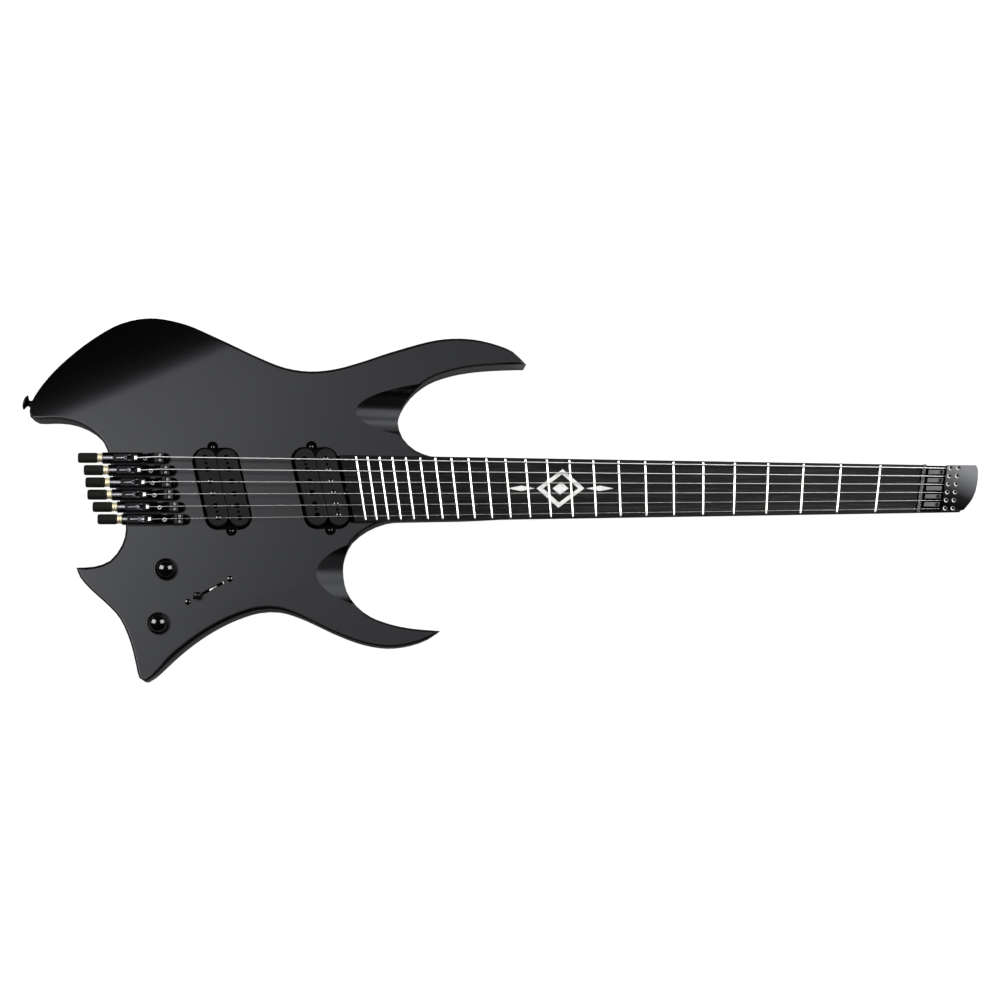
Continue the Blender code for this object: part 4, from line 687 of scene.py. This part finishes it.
def winding(name, colour, pitch, depth):
    """Steel wire, with a fine winding across it where pitch is set."""
    finish = Finish(name, colour, 0.28, 1.0)
    finish.rough(0.3, 0.12, 0.5, 2.0, (6.0, 1.0, 1.0))
    if pitch:
        turn = finish.node("ShaderNodeTexWave", {"wave_type": "BANDS", "bands_direction": "X"},
                           {"Vector": finish.spot(), "Scale": 0.314 / pitch}, "Fac")
        finish.bump(turn, depth)
    return finish


wound = winding("wound_nickel", (0.6, 0.595, 0.585), 0.34, 0.004)
plain = winding("plain_steel_wire", (0.72, 0.71, 0.7), 0.0, 0.0)
spool_metal = Finish("spool_metal", (0.82, 0.79, 0.72), 0.26, 1.0)
spool_metal.rough(0.2, 0.2, 0.4, 3.0)
for number in range(1, 7):
    radius = 0.5 * STRING_SIZES[number - 1]
    lock_x = nut_line(string_y(number, NUT_X))
    crest = saddle_x(number)
    ball = (crest + BALL_PLACES[number - 1], unit_y(number), BALL_HEIGHT)
    path = []
    for x, z in ((lock_x + 35.5, LOCK_BORE), (lock_x + 20.3, LOCK_BORE),
                 (lock_x + 1.5, string_height(number, lock_x)), (crest, string_height(number, crest))):
        path.append((x, string_y(number, x), z, radius))
    path.append((*ball, radius))
    finish = wound if number <= 3 else plain
    string = smoothed(drawn("wire_%d" % number, path), 60.0)
    fixed(string, finish, "guitar", "strings", "string_%d" % number)
    run = Vector(path[3][:3]) - Vector(ball)
    near = Vector(ball) + run * (2.0 / run.length)
    far = Vector(ball) + run * (8.5 / run.length)
    grip = radius + 0.2
    twist = drawn("twist_%d" % number, [(*near, grip), (*far, grip), (*(far + run * 0.03), radius + 0.02)])
    fixed(smoothed(twist, 60.0), rod_steel, "guitar", "strings")
    spool = turned("spool_%d" % number, [(1.2, -1.6), (1.82, -1.5), (1.9, -1.3), (1.8, -1.05), (1.3, -0.8),
                                         (1.3, 0.8), (1.8, 1.05), (1.9, 1.3), (1.82, 1.5), (1.2, 1.6)], 28)
    placed(spool, ball, 90.0, "X")
    fixed(smoothed(spool, 50.0), spool_metal, "guitar", "strings")


# Single-string bridges: bases. Each is milled from one bar of alloy as an open channel with a
# bearing block behind and a round nose in front, and anodised gloss black. A bright cap screw in its
# floor and a black one on its nose hold it to the body.

black_gloss = Finish("black_anodised", (0.014, 0.014, 0.016), 0.16, 0.9)
black_gloss.rough(0.13, 0.12, 6.0, 3.0)
black_gloss.bump(black_gloss.noise(0.6, 2.0), 0.004)
bright_steel = Finish("bright_screw_steel", (0.62, 0.61, 0.58), 0.22, 1.0)
lathe = bright_steel.noise(0.3, 2.0, (1.0, 1.0, 4.0))
bright_steel.set("Roughness", 0.16 + 0.18 * lathe)
bright_steel.bump(lathe, 0.004)
black_chrome = Finish("black_chrome", (0.09, 0.09, 0.093), 0.1, 1.0)
black_chrome.rough(0.08, 0.06, 0.8, 2.0)
for number in range(1, 7):
    crest = saddle_x(number)
    y = unit_y(number)
    base = softened(traced("channel_%d" % number, "bridge_base_%d" % number), 0.25)
    fixed(base, black_gloss, "guitar", "base_metal", "bridge_base_%d" % number)
    for name, along, seat, grow, steel in (("rear", -10.4, 1.1, 0.75, bright_steel),
                                           ("front", 9.0, 3.3, 1.0, black_chrome)):
        profile = [(2.2, 0.02), (2.5, 0.25), (2.5, 0.8), (2.3, 1.0), (1.6, 1.0), (1.3, 0.35)]
        screw = socketed("base_screw_%s_%d" % (name, number), [(r * grow, z * grow) for r, z in profile], 2.4 * grow)
        placed(screw, (crest + along, y, FRONT + seat), 13.0 * number)
        fixed(smoothed(screw), steel, "guitar", "plain_steel")
        paint_shade_inside(screw, socket_shade, (crest + along, y), 1.6 * grow)


# Saddles. Small hardened blocks with a rounded crest under the string, plated black, standing on
# two grub screws that set the height.

saddle_black = Finish("saddle_black", (0.003, 0.003, 0.0035), 0.2, 0.9)
saddle_black.rough(0.16, 0.12, 2.0, 3.0)
for number in range(1, 7):
    crest = saddle_x(number)
    y = unit_y(number)
    saddle = softened(traced("saddle_block_%d" % number, "saddle_%d" % number), 0.18)
    fixed(saddle, saddle_black, "guitar", "saddle_metal", "saddle_%d" % number)
    top = string_height(number, crest) - 0.5 * STRING_SIZES[number - 1] - 0.3
    for side, name in ((-1.0, "low"), (1.0, "high")):
        screw = socketed("grub_%s_%d" % (name, number),
                         [(1.05, -0.3), (1.12, 0.6), (0.95, 0.8), (0.62, 0.8), (0.55, 0.2)], 1.0, 18)
        placed(screw, (crest + 3.0, y + side * 2.2, top - 2.9), 19.0 * number)
        fixed(smoothed(screw), bright_steel, "guitar", "plain_steel")
        paint_shade_inside(screw, socket_shade, (crest + 3.0, y + side * 2.2), 0.64)


# Thrust washers. A pair of turned brass rings with a groove between them, which take the pull of
# the string between the tuning knob and the end of the base.

brass = Finish("turned_brass", (0.78, 0.66, 0.42), 0.26, 1.0)
ring_marks = brass.noise(0.22, 2.0, (1.0, 6.0, 6.0))
brass.set("Base Color", brass.mix(ring_marks, (0.9, 0.76, 0.48), (1.0, 0.95, 0.76)))
brass.set("Roughness", 0.42 + 0.2 * ring_marks)
brass.bump(ring_marks, 0.006)
KNOB_SIDE = -46.8
WASHER_SIDE = KNOB_SIDE - 3.6
TUNER_AXIS = FRONT + 6.0
for number in range(1, 7):
    ring = [(2.35, 0.0), (3.7, 0.0), (3.95, 0.25), (3.95, 1.25), (3.75, 1.45), (3.2, 1.5), (3.2, 2.1),
            (3.75, 2.15), (3.95, 2.35), (3.95, 3.35), (3.7, 3.6), (2.35, 3.6)]
    washer = turned("washers_%d" % number, ring, 40)
    placed(washer, (saddle_x(number) + WASHER_SIDE, unit_y(number), TUNER_AXIS), 90.0, "Y")
    fixed(smoothed(washer), brass, "guitar", "washer_brass", "thrust_washer_%d" % number)


# Tuning knobs. Each is turned from steel with a fine diamond knurl, blacked, with a dimple in its
# end, and drives a plain shank and an M4 thread that draw the carriage.

knurled = Finish("knurled_black", (0.03, 0.03, 0.026), 0.55, 0.0, Specular_IOR_Level=0.35)
rub = knurled.noise(2.5, 4.0, (1.0, 1.0, 1.0), 0.7)
knurled.set("Base Color", knurled.mix(rub, (0.022, 0.022, 0.018), (0.06, 0.06, 0.05)))
knurled.set("Roughness", 0.52 + 0.16 * rub)
shank_steel = Finish("shank_steel", (0.5, 0.5, 0.54), 0.45, 1.0)
spin = shank_steel.noise(0.25, 2.0, (1.0, 7.0, 7.0))
shank_steel.set("Roughness", 0.38 + 0.16 * spin)
shank_steel.bump(spin, 0.004)
KNOB_LENGTH = 16.6
KNOB_RADIUS = 4.45
for number in range(1, 7):
    body_name = "tuner_%d" % number
    shift = (saddle_x(number), unit_y(number), TUNER_AXIS)
    back = WASHER_SIDE - 0.3 - KNOB_LENGTH
    rings = 24
    profile = [(1.4, back + 0.8), (1.5, back + 0.5), (2.0, back), (3.5, back), (4.0, back + 0.3), (4.3, back + 0.9)]
    profile += [(KNOB_RADIUS - 0.12, back + 1.3 + (KNOB_LENGTH - 2.2) * k / rings) for k in range(rings + 1)]
    profile += [(4.1, back + KNOB_LENGTH - 0.35), (3.7, back + KNOB_LENGTH), (1.9, back + KNOB_LENGTH)]
    knob = turned("knurled_knob_%d" % number, profile, 56)
    for point in knob.data.vertices:
        x, y, z = point.co
        row = (z / MM - back - 1.3) * rings / (KNOB_LENGTH - 2.2)
        if abs(row - round(row)) < 0.01 and 0.5 < row < rings - 0.5:
            column = round((math.atan2(y, x) / (2.0 * math.pi) - 0.5 / 56) * 56)
            if (column + round(row)) % 2 == 0:
                point.co = (x * 1.03, y * 1.03, z)
    placed(knob, shift, 90.0, "Y")
    fixed(smoothed(knob, 20.0), knurled, body_name, "knob_metal", "tuner_knob_%d" % number)
    profile = [(1.9, back + KNOB_LENGTH - 0.1), (1.93, -39.0)]
    thread = -38.6
    while thread < -28.6:
        profile += [(1.93, thread), (1.62, thread + 0.35)]
        thread += 0.7
    profile += [(1.6, -27.7), (1.3, -27.4)]
    shank = turned("shank_%d" % number, profile, 24)
    placed(shank, shift, 90.0, "Y")
    fixed(smoothed(shank, 60.0), shank_steel, body_name, "knob_metal")


# String carriages. A black block slides in each base: its bore takes the thread, a slot shows the
# thread turning, and a pocket in front holds the spool on the string's end. A flared patch of its
# top behind the pocket is painted grey, a painted highlight.

for number in range(1, 7):
    black = Finish("carriage_black_%d" % number, (0.02, 0.02, 0.022), 0.3, 0.85)
    slide_marks = black.noise(0.5, 3.0, (10.0, 1.0, 1.0))
    # A flared patch of the top is painted grey: a painted highlight, with slide marks in it.
    ahead = black.place("X") - (saddle_x(number) + BALL_PLACES[number - 1] - 10.5)
    off_axis = abs(black.place("Y") - unit_y(number))
    highlight_patch = (off_axis - 0.3 * ahead).below(0.9) * ahead.above(0.0) * ahead.below(6.1) * black.place("Z").above(47.5)
    painted_highlight = black.mix(slide_marks, (0.14, 0.14, 0.155), (0.26, 0.26, 0.29))
    black.set("Base Color", black.mix(highlight_patch, (0.012, 0.012, 0.013), painted_highlight))
    black.set("Roughness", 0.24 + 0.2 * slide_marks)
    node = "string_carriage_%d" % number
    carriage = softened(traced("sliding_block_%d" % number, node), 0.2)
    fixed(carriage, black, "carriage_%d" % number, "carriage_metal", node)


# Pickups. Each has two bobbins of matte black plastic, wound, wrapped in cloth tape and screwed side
# by side to a black baseplate at the frets' slant. Six hexagon pole screws go down each bobbin, two
# small holes beside them show its screws, and a spring-loaded screw through each ear sets the height.

COIL_RADIUS = 8.85
COIL_REACH = 34.25 - COIL_RADIUS
COIL_TOP = 48.5
COIL_SIDE = 9.25
EAR_REACH = 37.5
EAR_TOP = 35.9


def lengthened(piece, reach):
    """Pulls a turned piece apart along Y into a slot shape."""
    for point in piece.data.vertices:
        point.co.y += reach * MM if point.co.y > 0.0 else -reach * MM
    return piece


matte_plastic = Finish("matte_bobbin", (0.024, 0.024, 0.027), 0.55, Specular_IOR_Level=0.4)
stipple = matte_plastic.noise(0.3, 3.0, (1.0, 1.0, 1.0), 0.6)
mould = matte_plastic.noise(9.0, 2.0)
top_tone = matte_plastic.mix(mould, (0.03, 0.0303, 0.034), (0.04, 0.0404, 0.045))
# Below its top the plastic is painted near-black, as painted shade on the bobbins' sides and in their holes.
on_top = matte_plastic.place("Z").above(COIL_TOP - 0.6)
matte_plastic.set("Base Color", matte_plastic.mix(on_top, (0.0015, 0.0015, 0.0015), top_tone))
matte_plastic.set("Roughness", 0.48 + 0.12 * stipple)
matte_plastic.bump(stipple, 0.012)
tape = Finish("cloth_tape", (0.012, 0.012, 0.012), 0.85)
thread_marks = tape.node("ShaderNodeTexWave", {"wave_type": "BANDS", "bands_direction": "Z"},
                         {"Vector": tape.spot(), "Scale": 0.6, "Distortion": 0.6}, "Fac")
tape.set("Base Color", tape.mix(thread_marks, (0.002, 0.002, 0.002), (0.006, 0.006, 0.0063)))
tape.bump(thread_marks, 0.06)
plate_black = Finish("plate_black", (0.0015, 0.0015, 0.0018), 0.5, Specular_IOR_Level=0.05)
plate_black.rough(0.42, 0.2, 3.0, 3.0)
pole_dark = Finish("pole_dark", (0.0008, 0.0008, 0.001), 0.34, Specular_IOR_Level=0.0)
pole_dark.rough(0.3, 0.14, 0.8, 2.0)

for pickup, centre_x, centre_y, pitch in (("bridge", 44.3, 0.8, 10.8), ("neck", 130.1, 1.4, 10.1)):
    node = pickup + "_pickup_base"
    plate = softened(traced(pickup + "_plate", node), 0.2)
    fixed(plate, plate_black, "guitar", "pickup_plate", node)
    for coil, side in (("rear", -1.0), ("front", 1.0)):
        name = "%s_%s" % (pickup, coil)
        spot = (centre_x + side * COIL_SIDE, centre_y, 0.0)
        low = COIL_TOP - 14.0
        r = COIL_RADIUS
        bobbin = turned(name + "_bobbin", [(r - 0.2, low), (r, low + 0.2), (r, low + 1.8), (r - 0.2, low + 2.0),
                                           (r - 1.6, low + 2.0), (r - 1.6, COIL_TOP - 2.0), (r - 0.2, COIL_TOP - 2.0),
                                           (r, COIL_TOP - 1.8), (r, COIL_TOP - 0.55), (r - 0.16, COIL_TOP - 0.18),
                                           (r - 0.5, COIL_TOP)], 48)
        lengthened(bobbin, COIL_REACH)
        for y, radius, deep in [(k - 2.5, 2.4, 1.4) for k in range(6)] + [(k, 1.25, 4.5) for k in (-2, 2)]:
            drill = turned("drill", [(radius, COIL_TOP - deep), (radius, COIL_TOP + 2.0)], 24)
            cut(bobbin, placed(drill, (0.0, pitch * y, 0.0)))
        placed(bobbin, spot, PICKUP_SLANT)
        fixed(smoothed(bobbin, 25.0), matte_plastic, "guitar", "coil_plastic", pickup + "_coil_" + coil)
        wrap = turned(name + "_tape", [(r - 0.75, low + 2.0), (r - 0.6, low + 2.6), (r - 0.6, COIL_TOP - 2.6),
                                       (r - 0.75, COIL_TOP - 2.0)], 48)
        placed(lengthened(wrap, COIL_REACH), spot, PICKUP_SLANT)
        fixed(smoothed(wrap), tape, "guitar", "coil_plastic")
        for k in (-2, 2):
            fixing = turned("%s_fixing_%d" % (name, k),
                            [(1.15, COIL_TOP - 2.0), (1.2, COIL_TOP - 1.9), (1.2, COIL_TOP - 0.9),
                             (1.0, COIL_TOP - 0.7), (0.5, COIL_TOP - 0.7), (0.4, COIL_TOP - 1.1)], 20)
            placed(fixing, (0.0, pitch * k, 0.0))
            placed(fixing, spot, PICKUP_SLANT)
            fixed(smoothed(fixing), pole_dark, "guitar", "plain_steel")
        for k in range(6):
            bright = name == "neck_front" or (name == "bridge_rear" and k in (0, 2, 3))
            top = COIL_TOP + (0.55 if bright else -0.25)
            if bright:
                pole = turned("%s_pole_%d" % (name, 6 - k),
                              [(2.1, COIL_TOP - 1.4), (2.25, COIL_TOP - 1.2), (2.25, top - 0.8), (2.1, top - 0.55),
                               (1.8, top - 0.34), (1.4, top - 0.18), (0.9, top - 0.07), (0.4, top - 0.01), (0.1, top)],
                              28)
            else:
                pole = socketed("%s_pole_%d" % (name, 6 - k),
                                [(2.1, COIL_TOP - 1.4), (2.25, COIL_TOP - 1.2), (2.25, top - 0.35), (2.05, top - 0.06),
                                 (1.8, top), (1.35, top), (1.25, top - 1.0)], 2.4)
            placed(pole, (0.0, pitch * (k - 2.5), 0.0))
            placed(pole, spot, PICKUP_SLANT)
            fixed(smoothed(pole), black_chrome if bright else pole_dark, "guitar", "plain_steel")

    for side, label in ((-1.0, "low"), (1.0, "high")):
        turn = math.radians(PICKUP_SLANT)
        x = centre_x - 0.6 - side * EAR_REACH * math.sin(turn)
        y = centre_y - 0.3 + side * EAR_REACH * math.cos(turn)
        screw = turned("%s_ear_screw_%s" % (pickup, label),
                       [(2.4, 0.0), (2.5, 0.3), (2.3, 1.1), (1.7, 1.75), (0.8, 2.05), (0.5, 1.3)], 28)
        placed(screw, (x, y, EAR_TOP))
        fixed(smoothed(screw, 60.0), black_chrome, "guitar", "plain_steel")


# Volume and tone knobs. Domed caps of black chrome, pushed on the splined shafts of two
# potentiometers that hang under the front of the body by their nuts.

dome_black = Finish("black_dome", (0.0015, 0.0015, 0.0018), 0.06, 0.0, Coat_Weight=0.6, Coat_Roughness=0.03)
dome_black.rough(0.05, 0.05, 5.0, 3.0)
zinc = Finish("zinc_plate", (0.45, 0.46, 0.48), 0.4, 1.0)
zinc.rough(0.3, 0.25, 2.0, 4.0)
refinished(zinc, "volume_pot", "tone_pot")
DOME_RADIUS = 9.6
DOME_SIDE = 4.8
DOME_RISE = 10.4
for name, x, y in (("volume", -3.9, -69.8), ("tone", -10.2, -116.5)):
    profile = [(7.7, 3.0), (7.7, 0.75), (7.9, 0.6), (9.3, 0.6), (9.55, 0.75), (DOME_RADIUS, 1.0),
               (DOME_RADIUS, DOME_SIDE)]
    for k in range(1, 17):
        angle = 0.5 * math.pi * k / 16.5
        profile.append((DOME_RADIUS * math.cos(angle), DOME_SIDE + DOME_RISE * math.sin(angle)))
    profile.append((0.1, DOME_SIDE + DOME_RISE))
    dome = turned(name + "_dome", profile, 96)
    placed(dome, (x, y, FRONT))
    fixed(smoothed(dome, 40.0), dome_black, name, "dial_black", name + "_knob")


# Blade switch. A steel frame hangs in the control cavity from two domed screws, its slot cut
# through the front of the body. The flat lever turns on a pin, wipes over two sprung contacts that
# glint in the slot, and ends in a small black tip.

SWITCH = Matrix.Translation(Vector((32.8, -87.9, FRONT)) * MM) @ Matrix.Rotation(math.radians(28.7), 4, "Z")
switch = softened(traced("switch_frame", "switch_body"), 0.12)
fixed(switch, black_oxide, "guitar", "switch_steel", "switch_body")
chrome = Finish("contact_chrome", (0.8, 0.8, 0.78), 0.12, 1.0)
chrome.rough(0.08, 0.12, 1.5, 3.0)
for side, name in ((-1.0, "near"), (1.0, "far")):
    head = turned("switch_screw_" + name, [(2.55, 0.3), (2.62, 0.6), (2.45, 1.1), (1.9, 1.6), (1.1, 1.92),
                                           (0.7, 1.98), (0.45, 1.2)], 32)
    head.data.transform(SWITCH @ Matrix.Translation((side * 20.65 * MM, 0.0, 0.0)))
    fixed(smoothed(head, 40.0), black_chrome, "guitar", "switch_steel")
for low, high, wide, name in ((0.5, 7.5, 0.5, "mid"), (12.9, 15.4, 0.95, "end")):
    leaf = cube("contact_" + name, 3)
    moulded(leaf, lambda u, v, w: (low + (high - low) * 0.5 * (u + 1.0), wide * v,
                                   -2.6 + 0.5 * (1.0 - u * u) + 0.25 * w))
    leaf.data.transform(SWITCH)
    fixed(smoothed(leaf, 60.0), chrome, "guitar", "plain_steel")

PIN_DEPTH = 21.0
REST_TILT = math.radians(-18.5)
LEAN = SWITCH @ Matrix.Translation((0.0, 0.0, -PIN_DEPTH * MM)) @ Matrix.Rotation(REST_TILT, 4, "Y")
blade = cube("switch_blade", 3)
moulded(blade, lambda u, v, w: ((2.5 - 0.5 * (w + 1.0)) * u, 0.6 * v, 13.0 + 11.0 * w))
softened(blade, 0.2)
blade.data.transform(LEAN)
fixed(blade, black_oxide, "lever", "switch_steel", "switch_lever")
hub = turned("switch_hub", [(1.5, -2.5), (3.2, -2.5), (3.4, -2.3), (3.4, 2.3), (3.2, 2.5), (1.5, 2.5)], 28)
placed(hub, (0.0, 0.0, 0.0), 90.0, "X")
hub.data.transform(LEAN)
fixed(smoothed(hub), black_oxide, "lever", "switch_steel")
tip_black = Finish("tip_black", (0.002, 0.002, 0.0023), 0.3, Specular_IOR_Level=0.3)
tip_black.rough(0.22, 0.16, 2.0, 3.0)
tip = turned("switch_tip", [(1.7, 28.1), (2.1, 28.2), (2.5, 29.4), (2.9, 31.0), (3.15, 32.6), (3.2, 34.1), (2.9, 35.3),
                            (2.2, 36.1), (1.2, 36.45), (0.2, 36.5)], 40)
tip.data.transform(LEAN)
fixed(smoothed(tip, 50.0), tip_black, "lever", "lever_black")


# Output jack. A plated barrel pushed into an angled bore in the lower edge, its flange on the seat
# of a round recess, with a knurled nut ring and a dark socket whose inside is painted near-black
# as painted shade.

JACK = (-53.0, -91.0, 0.5 * FRONT)
jack_black = Finish("jack_black_plate", (0.05, 0.05, 0.055), 0.22, 1.0)
jack_black.rough(0.18, 0.16, 2.0, 3.0)
jack = softened(traced("jack_barrel", "output_jack"), 0.25)
fixed(jack, jack_black, "guitar", "jack_metal", "output_jack")
ring = turned("jack_ring", [(3.22, 15.0), (3.22, -2.38), (7.0, -2.38), (7.1, -2.6), (7.1, -3.1), (6.8, -3.3),
                            (4.4, -3.3), (3.6, -3.0), (3.0, -2.4), (3.0, 14.5)], 48)
for point in ring.data.vertices:
    x, y, z = point.co
    notch = round((math.atan2(y, x) / (2.0 * math.pi) - 0.5 / 48) * 48)
    if math.hypot(x, y) > 7.05 * MM and notch % 2 == 0:
        point.co = (x * 0.965, y * 0.965, z)
placed(ring, JACK, 90.0, "Y")
fixed(smoothed(ring, 20.0), jack_black, "guitar", "jack_metal")
# The ring's bore is painted near-black as painted shade in the socket.
paint_shade_inside(ring, socket_shade, JACK[1:], 3.15, 1, 2)


# Strap buttons. Two turned buttons of black-plated brass, each held by a wood screw through its
# middle: one on the tail wing, one in the carved heel.


def crossed(piece, seat, reach, half, low, high):
    """Cuts a cross recess about the Z of a seat."""
    for a, b in ((reach, half), (half, reach)):
        bar = moulded(cube("cross_bar"), lambda u, v, w: (a * u, b * v, low + 0.5 * (high - low) * (w + 1.0)))
        bar.data.transform(seat)
        cut(piece, bar)
    return piece


HEEL_LEAN = math.radians(14.0)
TAIL_TURN = math.radians(164.0)
tail_way = Vector((math.cos(TAIL_TURN), math.sin(TAIL_TURN), 0.0))
heel_way = Vector((math.sin(HEEL_LEAN), 0.0, -math.cos(HEEL_LEAN)))
for node, spot, way in (("strap_button_tail", (-122.3, 76.4, 20.0), tail_way),
                        ("strap_button_heel", (224.0, 3.0, 46.0 * math.tan(HEEL_LEAN)), heel_way)):
    button = softened(traced(node.replace("strap_button", "button"), node), 0.3, 3)
    seat = Matrix.Translation(Vector(spot) * MM) @ way.to_track_quat("Z", "Y").to_matrix().to_4x4()
    crossed(button, seat, 1.5, 0.32, 6.9, 9.0)
    fixed(smoothed(button), black_gloss, "guitar", "strap_metal", node)


# Rear cover. A sheet of matte black plastic let in flush over the control cavity and held by six
# countersunk cross-head screws.

cover_plastic = Finish("cover_plastic", (0.014, 0.014, 0.015), 0.5)
leather = cover_plastic.noise(0.7, 4.0, (1.0, 1.0, 1.0), 0.65)
cover_plastic.set("Roughness", 0.44 + 0.14 * leather)
cover_plastic.bump(leather, 0.03)
cover = softened(traced("cover_sheet", "rear_cover"), 0.25)
heads = []
for number, (x, y) in enumerate(((-42.3, -90.0), (-10.6, -136.2), (49.0, -103.0), (68.3, -79.0), (10.0, -53.7),
                                 (-37.0, -66.2))):
    drill = turned("drill", [(3.3, -0.4), (2.9, 0.0), (1.5, 1.4), (1.5, 2.6)], 28)
    cut(cover, placed(drill, (x, y, 0.0)))
    head = turned("cover_screw_%d" % number, [(0.9, 0.3), (2.2, 0.42), (2.55, 0.55), (1.35, 1.7), (1.35, 2.0)], 28)
    crossed(head, Matrix.Identity(4), 1.35, 0.3, 0.0, 0.95)
    heads.append(placed(head, (x, y, 0.0), 23.0 * number))
fixed(smoothed(cover), cover_plastic, "guitar", "cover_plastic", "rear_cover")
for head in heads:
    fixed(smoothed(head), black_oxide, "guitar", "plain_steel")


# The studio. A plain pale floor lies under the guitar, a broad soft panel that fades to one side hangs
# over it, and low panels round it light its edges. Each panel lights only the pieces it is meant for:
# the gloss-black parts are flagged off from them and show two softboxes, and a strip shines on the wires.

bpy.ops.mesh.primitive_plane_add(size=14.0, location=(0.3, 0.0, -0.0004))
floor = bpy.context.object
floor.name = "floor"
pale = Finish("pale_floor", (0.7, 0.7, 0.7), 0.8, Emission_Color=(1.0, 1.0, 1.0), Emission_Strength=0.95)
pale.set("Roughness", 0.75 + 0.1 * pale.noise(60.0, 2.0))
floor.data.materials.append(pale.material)
floor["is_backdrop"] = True


def softbox(name, power, size, spot, target):
    """A rectangular soft light that faces a target."""
    light = bpy.data.lights.new(name, "AREA")
    light.shape = "RECTANGLE"
    light.size, light.size_y = size
    light.energy = power
    lamp = bpy.data.objects.new(name, light)
    bpy.context.scene.collection.objects.link(lamp)
    lamp.location = spot
    aim = Vector(target) - Vector(spot)
    lamp.rotation_euler = aim.to_track_quat("-Z", "Y").to_euler()
    return lamp


def lights_only(name, pieces, *lamps):
    """Lets lamps light nothing but these pieces."""
    group = bpy.data.collections.new("lit_by_" + name)
    for piece in pieces:
        group.objects.link(piece)
    for lamp in lamps:
        lamp.light_linking.receiver_collection = group


PANEL_TURN = math.radians(23.5)
overhead = softbox("overhead_panel", 9.6, (3.8, 1.13), (0.255, 0.181, 2.6), (0.255, 0.181, 0.0))
overhead.rotation_euler = (0.0, 0.0, PANEL_TURN)
overhead.data.use_nodes = True
lamp_nodes = overhead.data.node_tree.nodes
lamp_links = overhead.data.node_tree.links
on_panel = lamp_nodes.new("ShaderNodeNewGeometry")
slope = lamp_nodes.new("ShaderNodeVectorMath")
slope.operation = "DOT_PRODUCT"
slope.inputs[1].default_value = (-3.8, 1.58, 0.0)
lamp_links.new(on_panel.outputs["Parametric"], slope.inputs[0])
fade = lamp_nodes.new("ShaderNodeMapRange")
fade.interpolation_type = "SMOOTHSTEP"
for key, value in (("From Min", -1.03), ("From Max", 0.42), ("To Min", 0.62), ("To Max", 2.9)):
    fade.inputs[key].default_value = value
lamp_links.new(slope.outputs["Value"], fade.inputs["Value"])
lamp_links.new(fade.outputs["Result"], lamp_nodes["Emission"].inputs["Strength"])
side_panel = softbox("side_panel", 16.5, (4.2, 2.4), (2.3, 1.75, 1.25), (0.1, 1.75, 0.0))
left_softbox = softbox("left_softbox", 48.0, (1.25, 1.6), (-1.35, 0.45, 1.3), (0.1, 0.0, 0.0))
right_softbox = softbox("right_softbox", 42.0, (1.25, 1.6), (1.6, 0.45, 1.35), (0.1, 0.0, 0.0))
end_panel = softbox("end_panel", 3.9, (0.85, 1.5), (1.87, 0.72, 2.5), (1.87, 0.72, 0.0))
low_panel = softbox("low_panel", 2.2, (2.0, 2.4), (2.3, -1.4, 1.25), (0.1, -1.4, 0.0))
far_panel = softbox("far_panel", 3.2, (0.85, 2.2), (1.87, 2.57, 2.5), (1.87, 2.57, 0.0))
back_panel = softbox("back_panel", 7.0, (2.4, 1.8), (1.5, 2.2, 1.2), (0.2, 0.0, 0.0))
strip = softbox("string_strip", 28.0, (2.3, 0.7), (-0.05, 0.95, 1.75), (-0.05, 0.0, 0.0))
head_panel = softbox("head_panel", 1.3, (0.5, 0.3), (0.74, 0.0, 0.75), (0.66, 0.0, 0.0))
head_panel.visible_camera = False

flagged = {f.material for f in (dome_black, black_gloss, saddle_black, jack_black, tip_black, black_chrome)}
matte = {f.material for f in (charcoal, rubbed, ebony, matte_plastic, tape, knurled, anodised, graphite)}
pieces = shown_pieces()
lights_only("the_panels", [p for p in (floor, *pieces) if not flagged.intersection(p.data.materials)],
            overhead, side_panel, low_panel, end_panel, far_panel, back_panel)
lights_only("the_strip", [p for p in pieces if p.name.startswith("wire_")], strip)
lights_only("the_floor", [floor], floor)
lights_only("the_softboxes", [p for p in pieces if not matte.intersection(p.data.materials)],
            left_softbox, right_softbox)
lights_only("the_head_panel", [board, nut], head_panel)

world = bpy.data.worlds.new("studio")
bpy.context.scene.world = world
world.use_nodes = True
sky = world.node_tree.nodes["Background"].inputs
sky["Color"].default_value = (0.9, 0.93, 1.0, 1.0)
sky["Strength"].default_value = 0.01
bpy.context.scene.view_settings.view_transform = "Standard"

camera = bpy.data.cameras.new("camera")
camera.lens = 85.87
camera.sensor_width = 36.0
camera.clip_start = 0.05
camera.clip_end = 50.0
eye = bpy.data.objects.new("camera", camera)
bpy.context.scene.collection.objects.link(eye)
eye.location = (0.14301, -0.20153, 2.11661)
eye.rotation_euler = [math.radians(a) for a in (5.2988, -3.9063, -0.3554)]
bpy.context.scene.camera = eye
